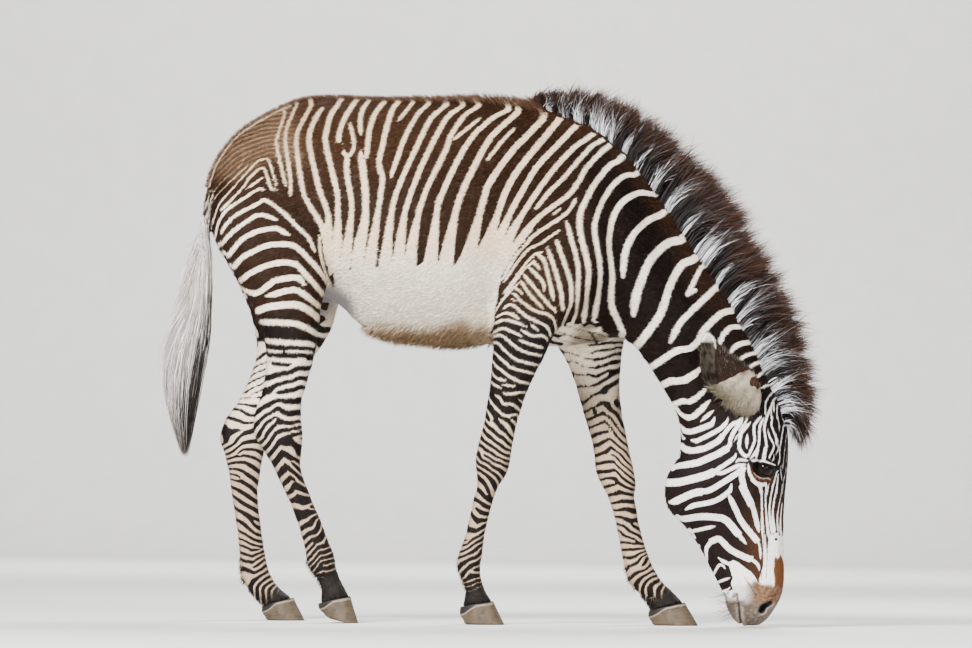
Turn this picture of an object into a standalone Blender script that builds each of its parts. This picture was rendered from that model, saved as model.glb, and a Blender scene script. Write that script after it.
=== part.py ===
"""A young Grevy's zebra, life size, grazing with its head at the ground.

Metres, +Z up. The animal faces +X, and its right side is at -Y. The floor is at Z = 0.

The flesh is modelled whole and then parted. Each region is a loft through a few stations, and a
station is a section of the body: its front (or top) edge, its back (or bottom) edge and its half
widths. The lofts are merged by a voxel remesh, softened where limbs join the trunk, thinned to a
low triangle count and cut into named parts by thin slabs.
"""

import math

import bmesh
import bpy
import numpy as np
from mathutils import Matrix, Vector

# Driving sizes, in metres.
GAP = 0.0004              # clearance between neighbouring solids
HAIR_GAP = 0.0015          # clearance between the flesh and the mane, ears and tail
CUT = 0.0006              # thickness of the slabs that part the flesh
VOXEL = 0.0085            # voxel of the merged flesh
FLESH_TRIANGLES = 4500    # triangles left on the merged flesh before it is parted
CENTRE_X = -0.012         # middle of the whole animal along X, in the drawing's own numbers

RIGHT, LEFT = -1, 1

COLOURS = {
    "coat": ((0.30, 0.24, 0.20), 0.75),
    "hoof": ((0.36, 0.30, 0.25), 0.55),
    "eye": ((0.02, 0.012, 0.008), 0.12),
    "hair": ((0.20, 0.15, 0.13), 0.85),
}

# ---------------------------------------------------------------------------------------------
# Stations. Each row is: front or top edge (x, z), back or bottom edge (x, z), then the half
# width at a fifth, a half and four fifths of the way from the first edge to the second.
# ---------------------------------------------------------------------------------------------

TRUNK = [
    ((-0.700, 1.030), (-0.700, 0.965), 0.020, 0.028, 0.022),
    ((-0.680, 1.085), (-0.682, 0.915), 0.050, 0.070, 0.060),
    ((-0.630, 1.150), (-0.630, 0.850), 0.090, 0.118, 0.100),
    ((-0.560, 1.198), (-0.560, 0.810), 0.112, 0.150, 0.125),
    ((-0.480, 1.235), (-0.470, 0.780), 0.122, 0.168, 0.130),
    ((-0.400, 1.243), (-0.385, 0.745), 0.122, 0.176, 0.130),
    ((-0.300, 1.241), (-0.300, 0.676), 0.124, 0.190, 0.138),
    ((-0.200, 1.241), (-0.200, 0.658), 0.126, 0.202, 0.150),
    ((-0.100, 1.241), (-0.100, 0.650), 0.122, 0.200, 0.150),
    ((0.000, 1.240), (0.000, 0.662), 0.108, 0.184, 0.138),
    ((0.090, 1.230), (0.090, 0.655), 0.090, 0.164, 0.120),
    ((0.170, 1.202), (0.170, 0.655), 0.080, 0.148, 0.108),
    ((0.235, 1.165), (0.240, 0.665), 0.072, 0.132, 0.100),
    ((0.285, 1.080), (0.295, 0.690), 0.060, 0.105, 0.080),
]
NECK = [
    ((0.130, 1.190), (0.200, 0.760), 0.075, 0.110, 0.090),
    ((0.215, 1.178), (0.285, 0.678), 0.070, 0.118, 0.090),
    ((0.300, 1.118), (0.318, 0.655), 0.056, 0.106, 0.082),
    ((0.375, 1.020), (0.340, 0.625), 0.046, 0.090, 0.072),
    ((0.440, 0.925), (0.360, 0.595), 0.042, 0.078, 0.064),
    ((0.503, 0.832), (0.382, 0.562), 0.040, 0.070, 0.058),
    ((0.560, 0.742), (0.402, 0.528), 0.040, 0.064, 0.054),
    ((0.606, 0.656), (0.417, 0.492), 0.044, 0.060, 0.052),
    ((0.634, 0.592), (0.424, 0.458), 0.052, 0.060, 0.050),
    ((0.655, 0.540), (0.424, 0.425), 0.058, 0.060, 0.046),
]
HEAD = [
    ((0.630, 0.588), (0.470, 0.470), 0.044, 0.050, 0.030),
    ((0.660, 0.535), (0.428, 0.430), 0.060, 0.066, 0.044),
    ((0.677, 0.480), (0.422, 0.402), 0.066, 0.076, 0.050),
    ((0.682, 0.430), (0.406, 0.376), 0.078, 0.082, 0.054),
    ((0.681, 0.380), (0.392, 0.345), 0.080, 0.084, 0.056),
    ((0.677, 0.330), (0.389, 0.308), 0.070, 0.078, 0.054),
    ((0.674, 0.280), (0.401, 0.272), 0.056, 0.068, 0.050),
    ((0.673, 0.230), (0.440, 0.232), 0.046, 0.056, 0.044),
    ((0.674, 0.180), (0.474, 0.184), 0.041, 0.047, 0.038),
    ((0.676, 0.140), (0.497, 0.142), 0.040, 0.043, 0.034),
    ((0.675, 0.100), (0.517, 0.103), 0.042, 0.044, 0.034),
    ((0.668, 0.069), (0.531, 0.075), 0.043, 0.045, 0.036),
    ((0.655, 0.044), (0.539, 0.045), 0.040, 0.043, 0.036),
    ((0.637, 0.019), (0.554, 0.019), 0.030, 0.033, 0.028),
    ((0.618, 0.003), (0.575, 0.003), 0.012, 0.014, 0.012),
]
# A leg row has one half width and the place of its middle across the body.
HIND_RIGHT = [
    ((-0.450, 1.120), (-0.590, 1.110), 0.044, 0.080),
    ((-0.420, 1.050), (-0.650, 1.040), 0.074, 0.088),
    ((-0.400, 0.960), (-0.690, 0.965), 0.088, 0.088),
    ((-0.392, 0.880), (-0.676, 0.885), 0.088, 0.094),
    ((-0.404, 0.800), (-0.625, 0.806), 0.078, 0.106),
    ((-0.421, 0.735), (-0.586, 0.735), 0.068, 0.110),
    ((-0.427, 0.680), (-0.560, 0.672), 0.058, 0.112),
    ((-0.436, 0.625), (-0.549, 0.620), 0.048, 0.112),
    ((-0.448, 0.572), (-0.554, 0.565), 0.040, 0.110),
    ((-0.463, 0.520), (-0.566, 0.510), 0.034, 0.108),
    ((-0.465, 0.475), (-0.576, 0.470), 0.034, 0.106),
    ((-0.461, 0.432), (-0.575, 0.436), 0.036, 0.105),
    ((-0.463, 0.395), (-0.548, 0.392), 0.034, 0.105),
    ((-0.464, 0.358), (-0.529, 0.360), 0.030, 0.105),
    ((-0.447, 0.310), (-0.504, 0.308), 0.026, 0.106),
    ((-0.421, 0.250), (-0.478, 0.250), 0.024, 0.108),
    ((-0.399, 0.196), (-0.459, 0.197), 0.025, 0.110),
    ((-0.383, 0.158), (-0.450, 0.158), 0.028, 0.111),
    ((-0.376, 0.122), (-0.442, 0.126), 0.031, 0.112),
    ((-0.366, 0.098), (-0.424, 0.103), 0.028, 0.112),
    ((-0.355, 0.078), (-0.414, 0.078), 0.028, 0.112),
    ((-0.346, 0.060), (-0.414, 0.047), 0.031, 0.112),
]
HIND_LEFT = [
    ((-0.450, 1.120), (-0.590, 1.110), 0.044, 0.080),
    ((-0.420, 1.050), (-0.650, 1.040), 0.074, 0.088),
    ((-0.396, 0.960), (-0.690, 0.965), 0.088, 0.088),
    ((-0.380, 0.880), (-0.676, 0.885), 0.088, 0.094),
    ((-0.378, 0.800), (-0.634, 0.806), 0.078, 0.104),
    ((-0.388, 0.735), (-0.603, 0.740), 0.068, 0.106),
    ((-0.410, 0.680), (-0.585, 0.680), 0.058, 0.108),
    ((-0.446, 0.625), (-0.583, 0.622), 0.048, 0.108),
    ((-0.488, 0.572), (-0.603, 0.565), 0.040, 0.106),
    ((-0.527, 0.522), (-0.628, 0.510), 0.034, 0.104),
    ((-0.549, 0.475), (-0.658, 0.465), 0.034, 0.102),
    ((-0.557, 0.432), (-0.667, 0.430), 0.036, 0.102),
    ((-0.560, 0.395), (-0.655, 0.392), 0.034, 0.102),
    ((-0.567, 0.355), (-0.645, 0.352), 0.031, 0.102),
    ((-0.573, 0.305), (-0.638, 0.308), 0.027, 0.103),
    ((-0.568, 0.250), (-0.629, 0.250), 0.025, 0.105),
    ((-0.561, 0.200), (-0.621, 0.200), 0.025, 0.107),
    ((-0.555, 0.162), (-0.616, 0.160), 0.028, 0.108),
    ((-0.547, 0.128), (-0.613, 0.122), 0.031, 0.109),
    ((-0.536, 0.100), (-0.610, 0.092), 0.030, 0.109),
    ((-0.518, 0.076), (-0.582, 0.060), 0.028, 0.109),
    ((-0.488, 0.054), (-0.556, 0.034), 0.032, 0.109),
]
FORE_RIGHT = [
    ((0.160, 1.080), (0.070, 1.070), 0.030, 0.066),
    ((0.215, 1.010), (0.030, 1.000), 0.054, 0.074),
    ((0.262, 0.920), (0.000, 0.920), 0.068, 0.086),
    ((0.262, 0.840), (-0.016, 0.850), 0.073, 0.094),
    ((0.215, 0.765), (-0.026, 0.785), 0.072, 0.102),
    ((0.138, 0.696), (-0.022, 0.715), 0.062, 0.104),
    ((0.104, 0.632), (-0.021, 0.640), 0.052, 0.102),
    ((0.073, 0.570), (-0.024, 0.570), 0.043, 0.099),
    ((0.054, 0.520), (-0.031, 0.520), 0.038, 0.096),
    ((0.040, 0.470), (-0.039, 0.470), 0.034, 0.094),
    ((0.032, 0.426), (-0.051, 0.424), 0.032, 0.093),
    ((0.025, 0.388), (-0.056, 0.386), 0.033, 0.092),
    ((0.018, 0.358), (-0.054, 0.352), 0.034, 0.092),
    ((0.000, 0.326), (-0.053, 0.320), 0.030, 0.092),
    ((-0.014, 0.287), (-0.062, 0.285), 0.025, 0.092),
    ((-0.026, 0.238), (-0.072, 0.238), 0.022, 0.092),
    ((-0.032, 0.204), (-0.080, 0.203), 0.022, 0.092),
    ((-0.036, 0.172), (-0.092, 0.170), 0.026, 0.092),
    ((-0.040, 0.140), (-0.097, 0.142), 0.029, 0.092),
    ((-0.039, 0.112), (-0.091, 0.114), 0.028, 0.092),
    ((-0.029, 0.082), (-0.077, 0.080), 0.027, 0.092),
    ((-0.013, 0.055), (-0.083, 0.042), 0.032, 0.092),
]
FORE_LEFT = [
    ((0.170, 1.080), (0.080, 1.070), 0.030, 0.066),
    ((0.230, 1.010), (0.040, 1.000), 0.054, 0.074),
    ((0.276, 0.920), (0.020, 0.920), 0.068, 0.086),
    ((0.296, 0.840), (0.020, 0.850), 0.073, 0.094),
    ((0.306, 0.765), (0.050, 0.785), 0.072, 0.102),
    ((0.298, 0.696), (0.098, 0.705), 0.062, 0.104),
    ((0.289, 0.632), (0.148, 0.638), 0.052, 0.102),
    ((0.285, 0.570), (0.176, 0.570), 0.043, 0.099),
    ((0.289, 0.520), (0.193, 0.520), 0.039, 0.096),
    ((0.298, 0.470), (0.208, 0.470), 0.035, 0.094),
    ((0.308, 0.422), (0.221, 0.424), 0.033, 0.093),
    ((0.317, 0.378), (0.228, 0.378), 0.034, 0.092),
    ((0.324, 0.338), (0.238, 0.338), 0.034, 0.092),
    ((0.322, 0.306), (0.256, 0.308), 0.029, 0.092),
    ((0.329, 0.268), (0.270, 0.270), 0.025, 0.092),
    ((0.337, 0.230), (0.280, 0.230), 0.023, 0.092),
    ((0.348, 0.192), (0.288, 0.190), 0.024, 0.092),
    ((0.360, 0.160), (0.296, 0.157), 0.027, 0.092),
    ((0.374, 0.130), (0.303, 0.124), 0.030, 0.092),
    ((0.393, 0.101), (0.313, 0.096), 0.029, 0.092),
    ((0.418, 0.078), (0.346, 0.064), 0.027, 0.092),
    ((0.442, 0.055), (0.364, 0.036), 0.032, 0.092),
]
LEG_ROWS = {
    "hind_right": (HIND_RIGHT, RIGHT),
    "hind_left": (HIND_LEFT, LEFT),
    "fore_right": (FORE_RIGHT, RIGHT),
    "fore_left": (FORE_LEFT, LEFT),
}
# Hooves: toe and heel of the coronet (x, z), toe and heel of the wall (x, z), side, middle across.
# The walls reach a little below the floor, and a plane at Z = 0 gives each its flat. The right hind
# foot is tipped forward, so that only its toe bears.
HOOVES = {
    "hind_right": ((-0.345, 0.063), (-0.418, 0.045), (-0.323, -0.006), (-0.403, 0.013), RIGHT, 0.112),
    "hind_left": ((-0.486, 0.054), (-0.558, 0.034), (-0.457, -0.001), (-0.552, -0.001), LEFT, 0.109),
    "fore_right": ((-0.011, 0.055), (-0.086, 0.041), (0.017, -0.001), (-0.080, -0.001), RIGHT, 0.092),
    "fore_left": ((0.444, 0.055), (0.361, 0.035), (0.478, -0.001), (0.366, -0.001), LEFT, 0.092),
}
HOOF_TOP_HALF, HOOF_SOLE_HALF = 0.0335, 0.0405
TAIL_DOCK = [
    ((-0.672, 1.060), (-0.690, 1.000), 0.014, 0.016, 0.014),
    ((-0.690, 1.000), (-0.708, 1.004), 0.012, 0.014, 0.012),
    ((-0.693, 0.950), (-0.714, 0.950), 0.012, 0.014, 0.012),
    ((-0.692, 0.890), (-0.720, 0.890), 0.013, 0.016, 0.013),
    ((-0.690, 0.840), (-0.728, 0.840), 0.015, 0.019, 0.015),
    ((-0.690, 0.790), (-0.736, 0.790), 0.018, 0.023, 0.018),
]
TAIL_TUFT = [
    ((-0.690, 0.789), (-0.736, 0.789), 0.018, 0.023, 0.018),
    ((-0.688, 0.730), (-0.746, 0.730), 0.022, 0.028, 0.022),
    ((-0.690, 0.670), (-0.768, 0.670), 0.025, 0.032, 0.025),
    ((-0.696, 0.610), (-0.778, 0.610), 0.024, 0.031, 0.024),
    ((-0.706, 0.540), (-0.776, 0.540), 0.020, 0.026, 0.020),
    ((-0.716, 0.470), (-0.770, 0.470), 0.014, 0.018, 0.014),
    ((-0.728, 0.405), (-0.752, 0.405), 0.006, 0.008, 0.006),
]
# Mane: tips (x, z), a place inside the neck (x, z), then half widths from the tips to the roots.
MANE = [
    ((0.070, 1.240), (0.085, 1.180), 0.006, 0.010, 0.014),
    ((0.140, 1.262), (0.150, 1.160), 0.009, 0.016, 0.020),
    ((0.215, 1.272), (0.195, 1.140), 0.012, 0.020, 0.024),
    ((0.300, 1.240), (0.240, 1.100), 0.013, 0.022, 0.026),
    ((0.390, 1.180), (0.290, 1.050), 0.014, 0.023, 0.027),
    ((0.480, 1.095), (0.350, 0.980), 0.014, 0.023, 0.027),
    ((0.560, 1.010), (0.410, 0.890), 0.014, 0.023, 0.027),
    ((0.625, 0.915), (0.470, 0.800), 0.014, 0.023, 0.027),
    ((0.680, 0.815), (0.525, 0.715), 0.014, 0.023, 0.027),
    ((0.724, 0.710), (0.570, 0.635), 0.014, 0.023, 0.027),
    ((0.750, 0.600), (0.605, 0.570), 0.013, 0.022, 0.026),
    ((0.754, 0.510), (0.640, 0.520), 0.010, 0.018, 0.024),
    ((0.732, 0.440), (0.662, 0.490), 0.005, 0.010, 0.016),
]
EYE_CENTRE = (0.622, 0.374)      # x, z
EYE_OUT = 0.0655                 # distance of the eye's middle from the body's middle plane
EYE_RADIUS = 0.0205
EAR_BASE = (0.578, 0.505)        # x, z
EAR_TIP = (0.500, 0.682)
EAR_OUT, EAR_TIP_OUT = 0.056, 0.104
EAR_SKIN = 0.005
# Ear rows: share of its length, how far the section bows forward, half its width, its depth to
# the back of the cup, and the degrees of the ring that the ear closes.
EAR = [
    (0.00, 0.000, 0.034, 0.036, 320),
    (0.12, 0.000, 0.042, 0.043, 300),
    (0.28, -0.001, 0.048, 0.048, 270),
    (0.45, -0.006, 0.050, 0.047, 245),
    (0.62, -0.013, 0.047, 0.041, 225),
    (0.78, -0.019, 0.037, 0.031, 205),
    (0.90, -0.020, 0.024, 0.019, 180),
    (0.975, -0.016, 0.011, 0.008, 150),
    (1.00, -0.013, 0.004, 0.003, 120),
]

# Thin slabs that part the flesh: two ends of the cut in side view (x, z), and the span across.
CUTS = [
    ("neck_root", (0.235, 1.300), (0.262, 0.630), -0.30, 0.30),
    ("poll", (0.665, 0.640), (0.395, 0.425), -0.30, 0.30),
    ("hind_tops", (-0.300, 0.655), (-0.760, 0.860), -0.30, 0.30),
    ("fore_top_right", (-0.060, 0.672), (0.170, 0.668), -0.30, -0.006),
    ("fore_top_left", (0.070, 0.668), (0.330, 0.655), 0.006, 0.30),
    ("hock_right", (-0.430, 0.500), (-0.600, 0.500), -0.30, -0.02),
    ("hock_left", (-0.510, 0.500), (-0.690, 0.500), 0.02, 0.30),
    ("knee_right", (0.060, 0.400), (-0.090, 0.400), -0.30, -0.02),
    ("knee_left", (0.360, 0.395), (0.190, 0.395), 0.02, 0.30),
]
# Near the middle of each part of the flesh, which names it once it is parted: x, y, z.
FLESH_PARTS = {
    "head": (0.600, 0.0, 0.300),
    "neck": (0.430, 0.0, 0.750),
    "trunk": (-0.200, 0.0, 0.950),
    "thigh_right": (-0.500, -0.110, 0.680),
    "thigh_left": (-0.500, 0.108, 0.700),
    "shank_hind_right": (-0.470, -0.106, 0.300),
    "shank_hind_left": (-0.600, 0.103, 0.300),
    "forearm_right": (0.020, -0.099, 0.560),
    "forearm_left": (0.240, 0.099, 0.560),
    "shank_fore_right": (-0.050, -0.092, 0.240),
    "shank_fore_left": (0.310, 0.092, 0.240),
}


# ---------------------------------------------------------------------------------------------
# Shapes
# ---------------------------------------------------------------------------------------------

def smooth_rows(rows, steps):
    """Rows of numbers with a smooth curve read through them, steps rows to each gap."""
    rows = np.array(rows, float)
    padded = np.vstack([2 * rows[0] - rows[1], rows, 2 * rows[-1] - rows[-2]])
    found = []
    for i in range(1, len(padded) - 2):
        p0, p1, p2, p3 = padded[i - 1:i + 3]
        for k in range(steps):
            t = k / steps
            found.append(0.5 * (2 * p1 + (p2 - p0) * t + (2 * p0 - 5 * p1 + 4 * p2 - p3) * t * t
                                + (3 * p1 - p0 - 3 * p2 + p3) * t ** 3))
    return np.array(found + [rows[-1]])


def width_along(share, fifth, half, four_fifths, roundness):
    """Half width of a section at a share of the way from its first edge to its second."""
    envelope = np.sin(math.pi * share) ** roundness
    at_fifth = fifth / math.sin(math.pi * 0.2) ** roundness
    at_four = four_fifths / math.sin(math.pi * 0.8) ** roundness
    a = (share - 0.5) * (share - 0.8) / 0.18 * at_fifth
    b = (share - 0.2) * (share - 0.8) / -0.09 * half
    c = (share - 0.2) * (share - 0.5) / 0.18 * at_four
    return envelope * np.clip(a + b + c, 0.25 * half, None)


def station_ring(row, sides, roundness):
    """Points round one section: (x1, z1, x2, z2, fifth, half, four fifths, middle across)."""
    x1, z1, x2, z2, fifth, half, four_fifths, middle = row
    angle = np.arange(sides) * 2 * math.pi / sides
    share = (1 - np.cos(angle)) / 2
    out = width_along(share, fifth, half, four_fifths, roundness) * np.sign(np.sin(angle))
    out[np.abs(np.sin(angle)) < 1e-9] = 0.0
    return np.stack([x1 + (x2 - x1) * share, middle + out, z1 + (z2 - z1) * share], axis=1)


def mesh_object(name, points, faces, collection):
    mesh = bpy.data.meshes.new(name)
    mesh.from_pydata([tuple(p) for p in points], [], faces)
    mesh.validate()
    found = bpy.data.objects.new(name, mesh)
    collection.objects.link(found)
    return found


def face_outwards(target):
    work = bmesh.new()
    work.from_mesh(target.data)
    bmesh.ops.recalc_face_normals(work, faces=work.faces)
    work.to_mesh(target.data)
    work.free()


def loft(name, rows, collection, sides=28, steps=4, roundness=0.62):
    """A closed skin through the rows' sections, with both ends capped."""
    full = []
    for row in rows:
        first, second, *rest = row
        if len(rest) == 2:
            half, middle = rest
            rest = (half * 0.86, half, half * 0.86, middle)
        elif len(rest) == 3:
            rest = (*rest, 0.0)
        full.append((*first, *second, *rest))
    rings = [station_ring(row, sides, roundness) for row in smooth_rows(full, steps)]
    points = np.concatenate(rings)
    faces = []
    for i in range(len(rings) - 1):
        for k in range(sides):
            a, b = i * sides + k, i * sides + (k + 1) % sides
            faces.append((a, b, b + sides, a + sides))
    faces.append(tuple(range(sides)))
    last = (len(rings) - 1) * sides
    faces.append(tuple(range(last, last + sides)))
    found = mesh_object(name, points, faces, collection)
    face_outwards(found)
    return found


def leg_rows(rows, side):
    return [(first, second, half, side * middle) for first, second, half, middle in rows]


def baked(source, name, collection):
    """A new mesh object that holds source as its modifiers leave it, and source removed."""
    graph = bpy.context.evaluated_depsgraph_get()
    mesh = bpy.data.meshes.new_from_object(source.evaluated_get(graph))
    mesh.transform(source.matrix_world)
    bpy.data.objects.remove(source)
    found = bpy.data.objects.new(name, mesh)
    mesh.name = name
    collection.objects.link(found)
    return found


def joined(objects, name, collection):
    """One mesh object with the faces of all of these, which are removed."""
    work = bmesh.new()
    for item in objects:
        item.data.transform(item.matrix_world)
        work.from_mesh(item.data)
        bpy.data.objects.remove(item)
    mesh = bpy.data.meshes.new(name)
    work.to_mesh(mesh)
    work.free()
    found = bpy.data.objects.new(name, mesh)
    collection.objects.link(found)
    return found


def slab(name, first, second, low, high, thickness, collection):
    """A thin box that stands on the line from first to second in side view."""
    first, second = Vector((first[0], 0, first[1])), Vector((second[0], 0, second[1]))
    along = second - first
    bpy.ops.mesh.primitive_cube_add(size=1)
    found = bpy.context.object
    found.name = name
    for owner in list(found.users_collection):
        owner.objects.unlink(found)
    collection.objects.link(found)
    angle = math.atan2(along.z, along.x)
    middle = (first + second) / 2 + Vector((0, (low + high) / 2, 0))
    stretch = Matrix.Diagonal((along.length, high - low, thickness, 1))
    found.data.transform(Matrix.Translation(middle) @ Matrix.Rotation(-angle, 4, "Y") @ stretch)
    found.hide_render = True
    found.display_type = "WIRE"
    return found


def cut_away(target, cutter):
    tool = target.modifiers.new("cut_" + cutter.name, "BOOLEAN")
    tool.operation = "DIFFERENCE"
    tool.object = cutter


def grown(source, name, by, collection):
    """A wire copy of source, larger by this much all round, to cut its neighbours with."""
    found = bpy.data.objects.new(name, source.data.copy())
    found.matrix_world = source.matrix_world
    collection.objects.link(found)
    push = found.modifiers.new("grow", "DISPLACE")
    push.strength = by
    push.mid_level = 0.0
    found.hide_render = True
    found.display_type = "WIRE"
    return found


def material(name):
    found = bpy.data.materials.get(name)
    if found is None:
        (red, green, blue), rough = COLOURS[name]
        found = bpy.data.materials.new(name)
        found.use_nodes = True
        shader = found.node_tree.nodes["Principled BSDF"]
        shader.inputs["Base Color"].default_value = (red, green, blue, 1)
        shader.inputs["Roughness"].default_value = rough
        shader.inputs["Metallic"].default_value = 0.0
    return found


def wear(target, name):
    target.data.materials.clear()
    target.data.materials.append(material(name))
    target.data.shade_smooth()
    target.data.set_sharp_from_angle(angle=math.radians(50))


# ---------------------------------------------------------------------------------------------
# The flesh
# ---------------------------------------------------------------------------------------------

# Where limbs run into the trunk the merged skin is softened: x, distance from the middle, z, reach.
SOFT_PLACES = [
    (-0.395, 0.150, 0.850, 0.130),
    (-0.400, 0.100, 0.760, 0.090),
    (-0.640, 0.060, 0.860, 0.100),
    (-0.670, 0.070, 0.990, 0.110),
    (-0.500, 0.030, 0.770, 0.110),
    (-0.010, 0.150, 0.760, 0.110),
    (0.020, 0.090, 0.680, 0.080),
    (0.200, 0.050, 0.670, 0.110),
    (0.250, 0.110, 0.800, 0.130),
    (0.270, 0.080, 1.050, 0.120),
    (0.120, 0.110, 1.080, 0.120),
    (-0.450, 0.130, 1.080, 0.140),
    (0.560, 0.060, 0.520, 0.080),
    (0.450, 0.050, 0.450, 0.070),
]


def soften(target, places, rounds):
    """Smooths the mesh near the given places, on both sides of the body."""
    group = target.vertex_groups.new(name="soft")
    where = np.array([v.co for v in target.data.vertices])
    weight = np.zeros(len(where))
    for x, out, z, reach in places:
        for side in (RIGHT, LEFT):
            far = np.linalg.norm(where - (x, side * out, z), axis=1) / reach
            weight = np.maximum(weight, np.clip(1.3 - far, 0, 1))
    for i in np.nonzero(weight)[0]:
        group.add([int(i)], float(weight[i]), "REPLACE")
    relax = target.modifiers.new("soften", "SMOOTH")
    relax.factor = 0.5
    relax.iterations = rounds
    relax.vertex_group = "soft"


def whole_flesh(parts, helpers):
    """The merged skin of trunk, neck, head and legs, as one closed mesh."""
    pieces = [
        loft("trunk_form", TRUNK, helpers),
        loft("neck_form", NECK, helpers),
        loft("head_form", HEAD, helpers),
    ]
    for name, (rows, side) in LEG_ROWS.items():
        pieces.append(loft(name + "_form", leg_rows(rows, side), helpers, sides=20))
    flesh = joined(pieces, "flesh", parts)
    merge = flesh.modifiers.new("merge", "REMESH")
    merge.mode = "VOXEL"
    merge.voxel_size = VOXEL
    even = flesh.modifiers.new("even", "SMOOTH")
    even.factor = 0.5
    even.iterations = 2
    flesh = baked(flesh, "flesh", parts)
    soften(flesh, SOFT_PLACES, 14)
    flesh = baked(flesh, "flesh", parts)
    thin = flesh.modifiers.new("thin", "DECIMATE")
    flesh.data.calc_loop_triangles()
    thin.ratio = FLESH_TRIANGLES / len(flesh.data.loop_triangles)
    return baked(flesh, "flesh", parts)


def loose_bodies(source):
    """Lists of face indices, one for each separate body of the mesh."""
    work = bmesh.new()
    work.from_mesh(source.data)
    work.faces.ensure_lookup_table()
    seen = set()
    found = []
    for face in work.faces:
        if face.index in seen:
            continue
        body, edge_of_body = {face.index}, [face]
        while edge_of_body:
            here = edge_of_body.pop()
            for edge in here.edges:
                for near in edge.link_faces:
                    if near.index not in body:
                        body.add(near.index)
                        edge_of_body.append(near)
        seen |= body
        found.append(sorted(body))
    work.free()
    return found


def body_mesh(source, name, keep):
    work = bmesh.new()
    work.from_mesh(source.data)
    work.faces.ensure_lookup_table()
    kept = set(keep)
    away = [face for face in work.faces if face.index not in kept]
    bmesh.ops.delete(work, geom=away, context="FACES")
    bmesh.ops.recalc_face_normals(work, faces=work.faces)
    mesh = bpy.data.meshes.new(name)
    work.to_mesh(mesh)
    work.free()
    return mesh


def part_flesh(flesh, parts, helpers):
    """Cuts the flesh into its named parts and returns them by name."""
    for name, first, second, low, high in CUTS:
        cut_away(flesh, slab(name, first, second, low, high, CUT, helpers))
    flesh = baked(flesh, "flesh", parts)
    bodies = []
    for keep in loose_bodies(flesh):
        mesh = body_mesh(flesh, "body", keep)
        where = np.array([v.co for v in mesh.vertices])
        bodies.append((mesh, (where.min(axis=0) + where.max(axis=0)) / 2))
    named = {}
    for name, place in FLESH_PARTS.items():
        mesh = min(bodies, key=lambda body: np.linalg.norm(body[1] - np.array(place)))[0]
        mesh.name = name
        named[name] = bpy.data.objects.new(name, mesh)
        parts.objects.link(named[name])
    bpy.data.objects.remove(flesh)
    return named


# ---------------------------------------------------------------------------------------------
# Hooves, eyes, ears, mane and tail
# ---------------------------------------------------------------------------------------------

def hoof(name, coronet_toe, coronet_heel, toe, heel, side, middle, collection):
    """A hoof wall from the coronet down to its flat sole: round at the toe, narrower at the heel."""
    sides, levels = 16, 2
    points = []
    for level in range(levels + 1):
        share = level / levels
        front = np.array(coronet_toe) * (1 - share) + np.array(toe) * share
        back = np.array(coronet_heel) * (1 - share) + np.array(heel) * share
        half = HOOF_TOP_HALF * (1 - share) + HOOF_SOLE_HALF * share
        for k in range(sides):
            angle = 2 * math.pi * k / sides
            along = (1 - math.cos(angle)) / 2
            out = half * math.sin(angle) * (1.0 - 0.22 * along ** 2)
            x, z = front * (1 - along) + back * along
            points.append((x, side * middle + out, z))
    faces = [tuple(range(sides)), tuple(range(levels * sides, (levels + 1) * sides))]
    for level in range(levels):
        for k in range(sides):
            a, b = level * sides + k, level * sides + (k + 1) % sides
            faces.append((a, b, b + sides, a + sides))
    found = mesh_object(name, points, faces, collection)
    face_outwards(found)
    return found


def eye(name, side, collection):
    bpy.ops.mesh.primitive_uv_sphere_add(segments=16, ring_count=8, radius=EYE_RADIUS)
    found = bpy.context.object
    found.name = name
    for owner in list(found.users_collection):
        owner.objects.unlink(found)
    collection.objects.link(found)
    place = Vector((EYE_CENTRE[0], side * EYE_OUT, EYE_CENTRE[1]))
    found.data.transform(Matrix.Translation(place))
    return found


def ear(name, side, collection):
    """A deep cupped leaf that opens back and a little outwards, made a skin by Solidify."""
    base = Vector((EAR_BASE[0], side * EAR_OUT, EAR_BASE[1]))
    tip = Vector((EAR_TIP[0], side * EAR_TIP_OUT, EAR_TIP[1]))
    along = (tip - base).normalized()
    open_way = Vector((-0.90, side * 0.42, 0.0))
    open_way = (open_way - along * open_way.dot(along)).normalized()
    across = along.cross(open_way)
    length = (tip - base).length
    columns = 11
    rows = smooth_rows(EAR, 1)
    points, faces = [], []
    for share, bow, half, depth, wrap in rows:
        for k in range(columns + 1):
            turn = math.radians(wrap) * (k / columns - 0.5)
            where = base + along * (length * share) - open_way * bow
            points.append(where + across * (math.sin(turn) * half)
                          - open_way * (math.cos(turn) * depth))
    for i in range(len(rows) - 1):
        for k in range(columns):
            a = i * (columns + 1) + k
            faces.append((a, a + 1, a + columns + 2, a + columns + 1))
    found = mesh_object(name, points, faces, collection)
    thick = found.modifiers.new("skin", "SOLIDIFY")
    thick.thickness = EAR_SKIN
    thick.offset = 0.0
    thick.use_even_offset = False
    found = baked(found, name, collection)
    face_outwards(found)
    return found


def keep_largest(source, name, collection):
    """The largest separate body of source, as a new object."""
    largest = max(loose_bodies(source), key=len)
    mesh = body_mesh(source, name, largest)
    bpy.data.objects.remove(source)
    found = bpy.data.objects.new(name, mesh)
    mesh.name = name
    found.name = name
    collection.objects.link(found)
    return found


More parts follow.
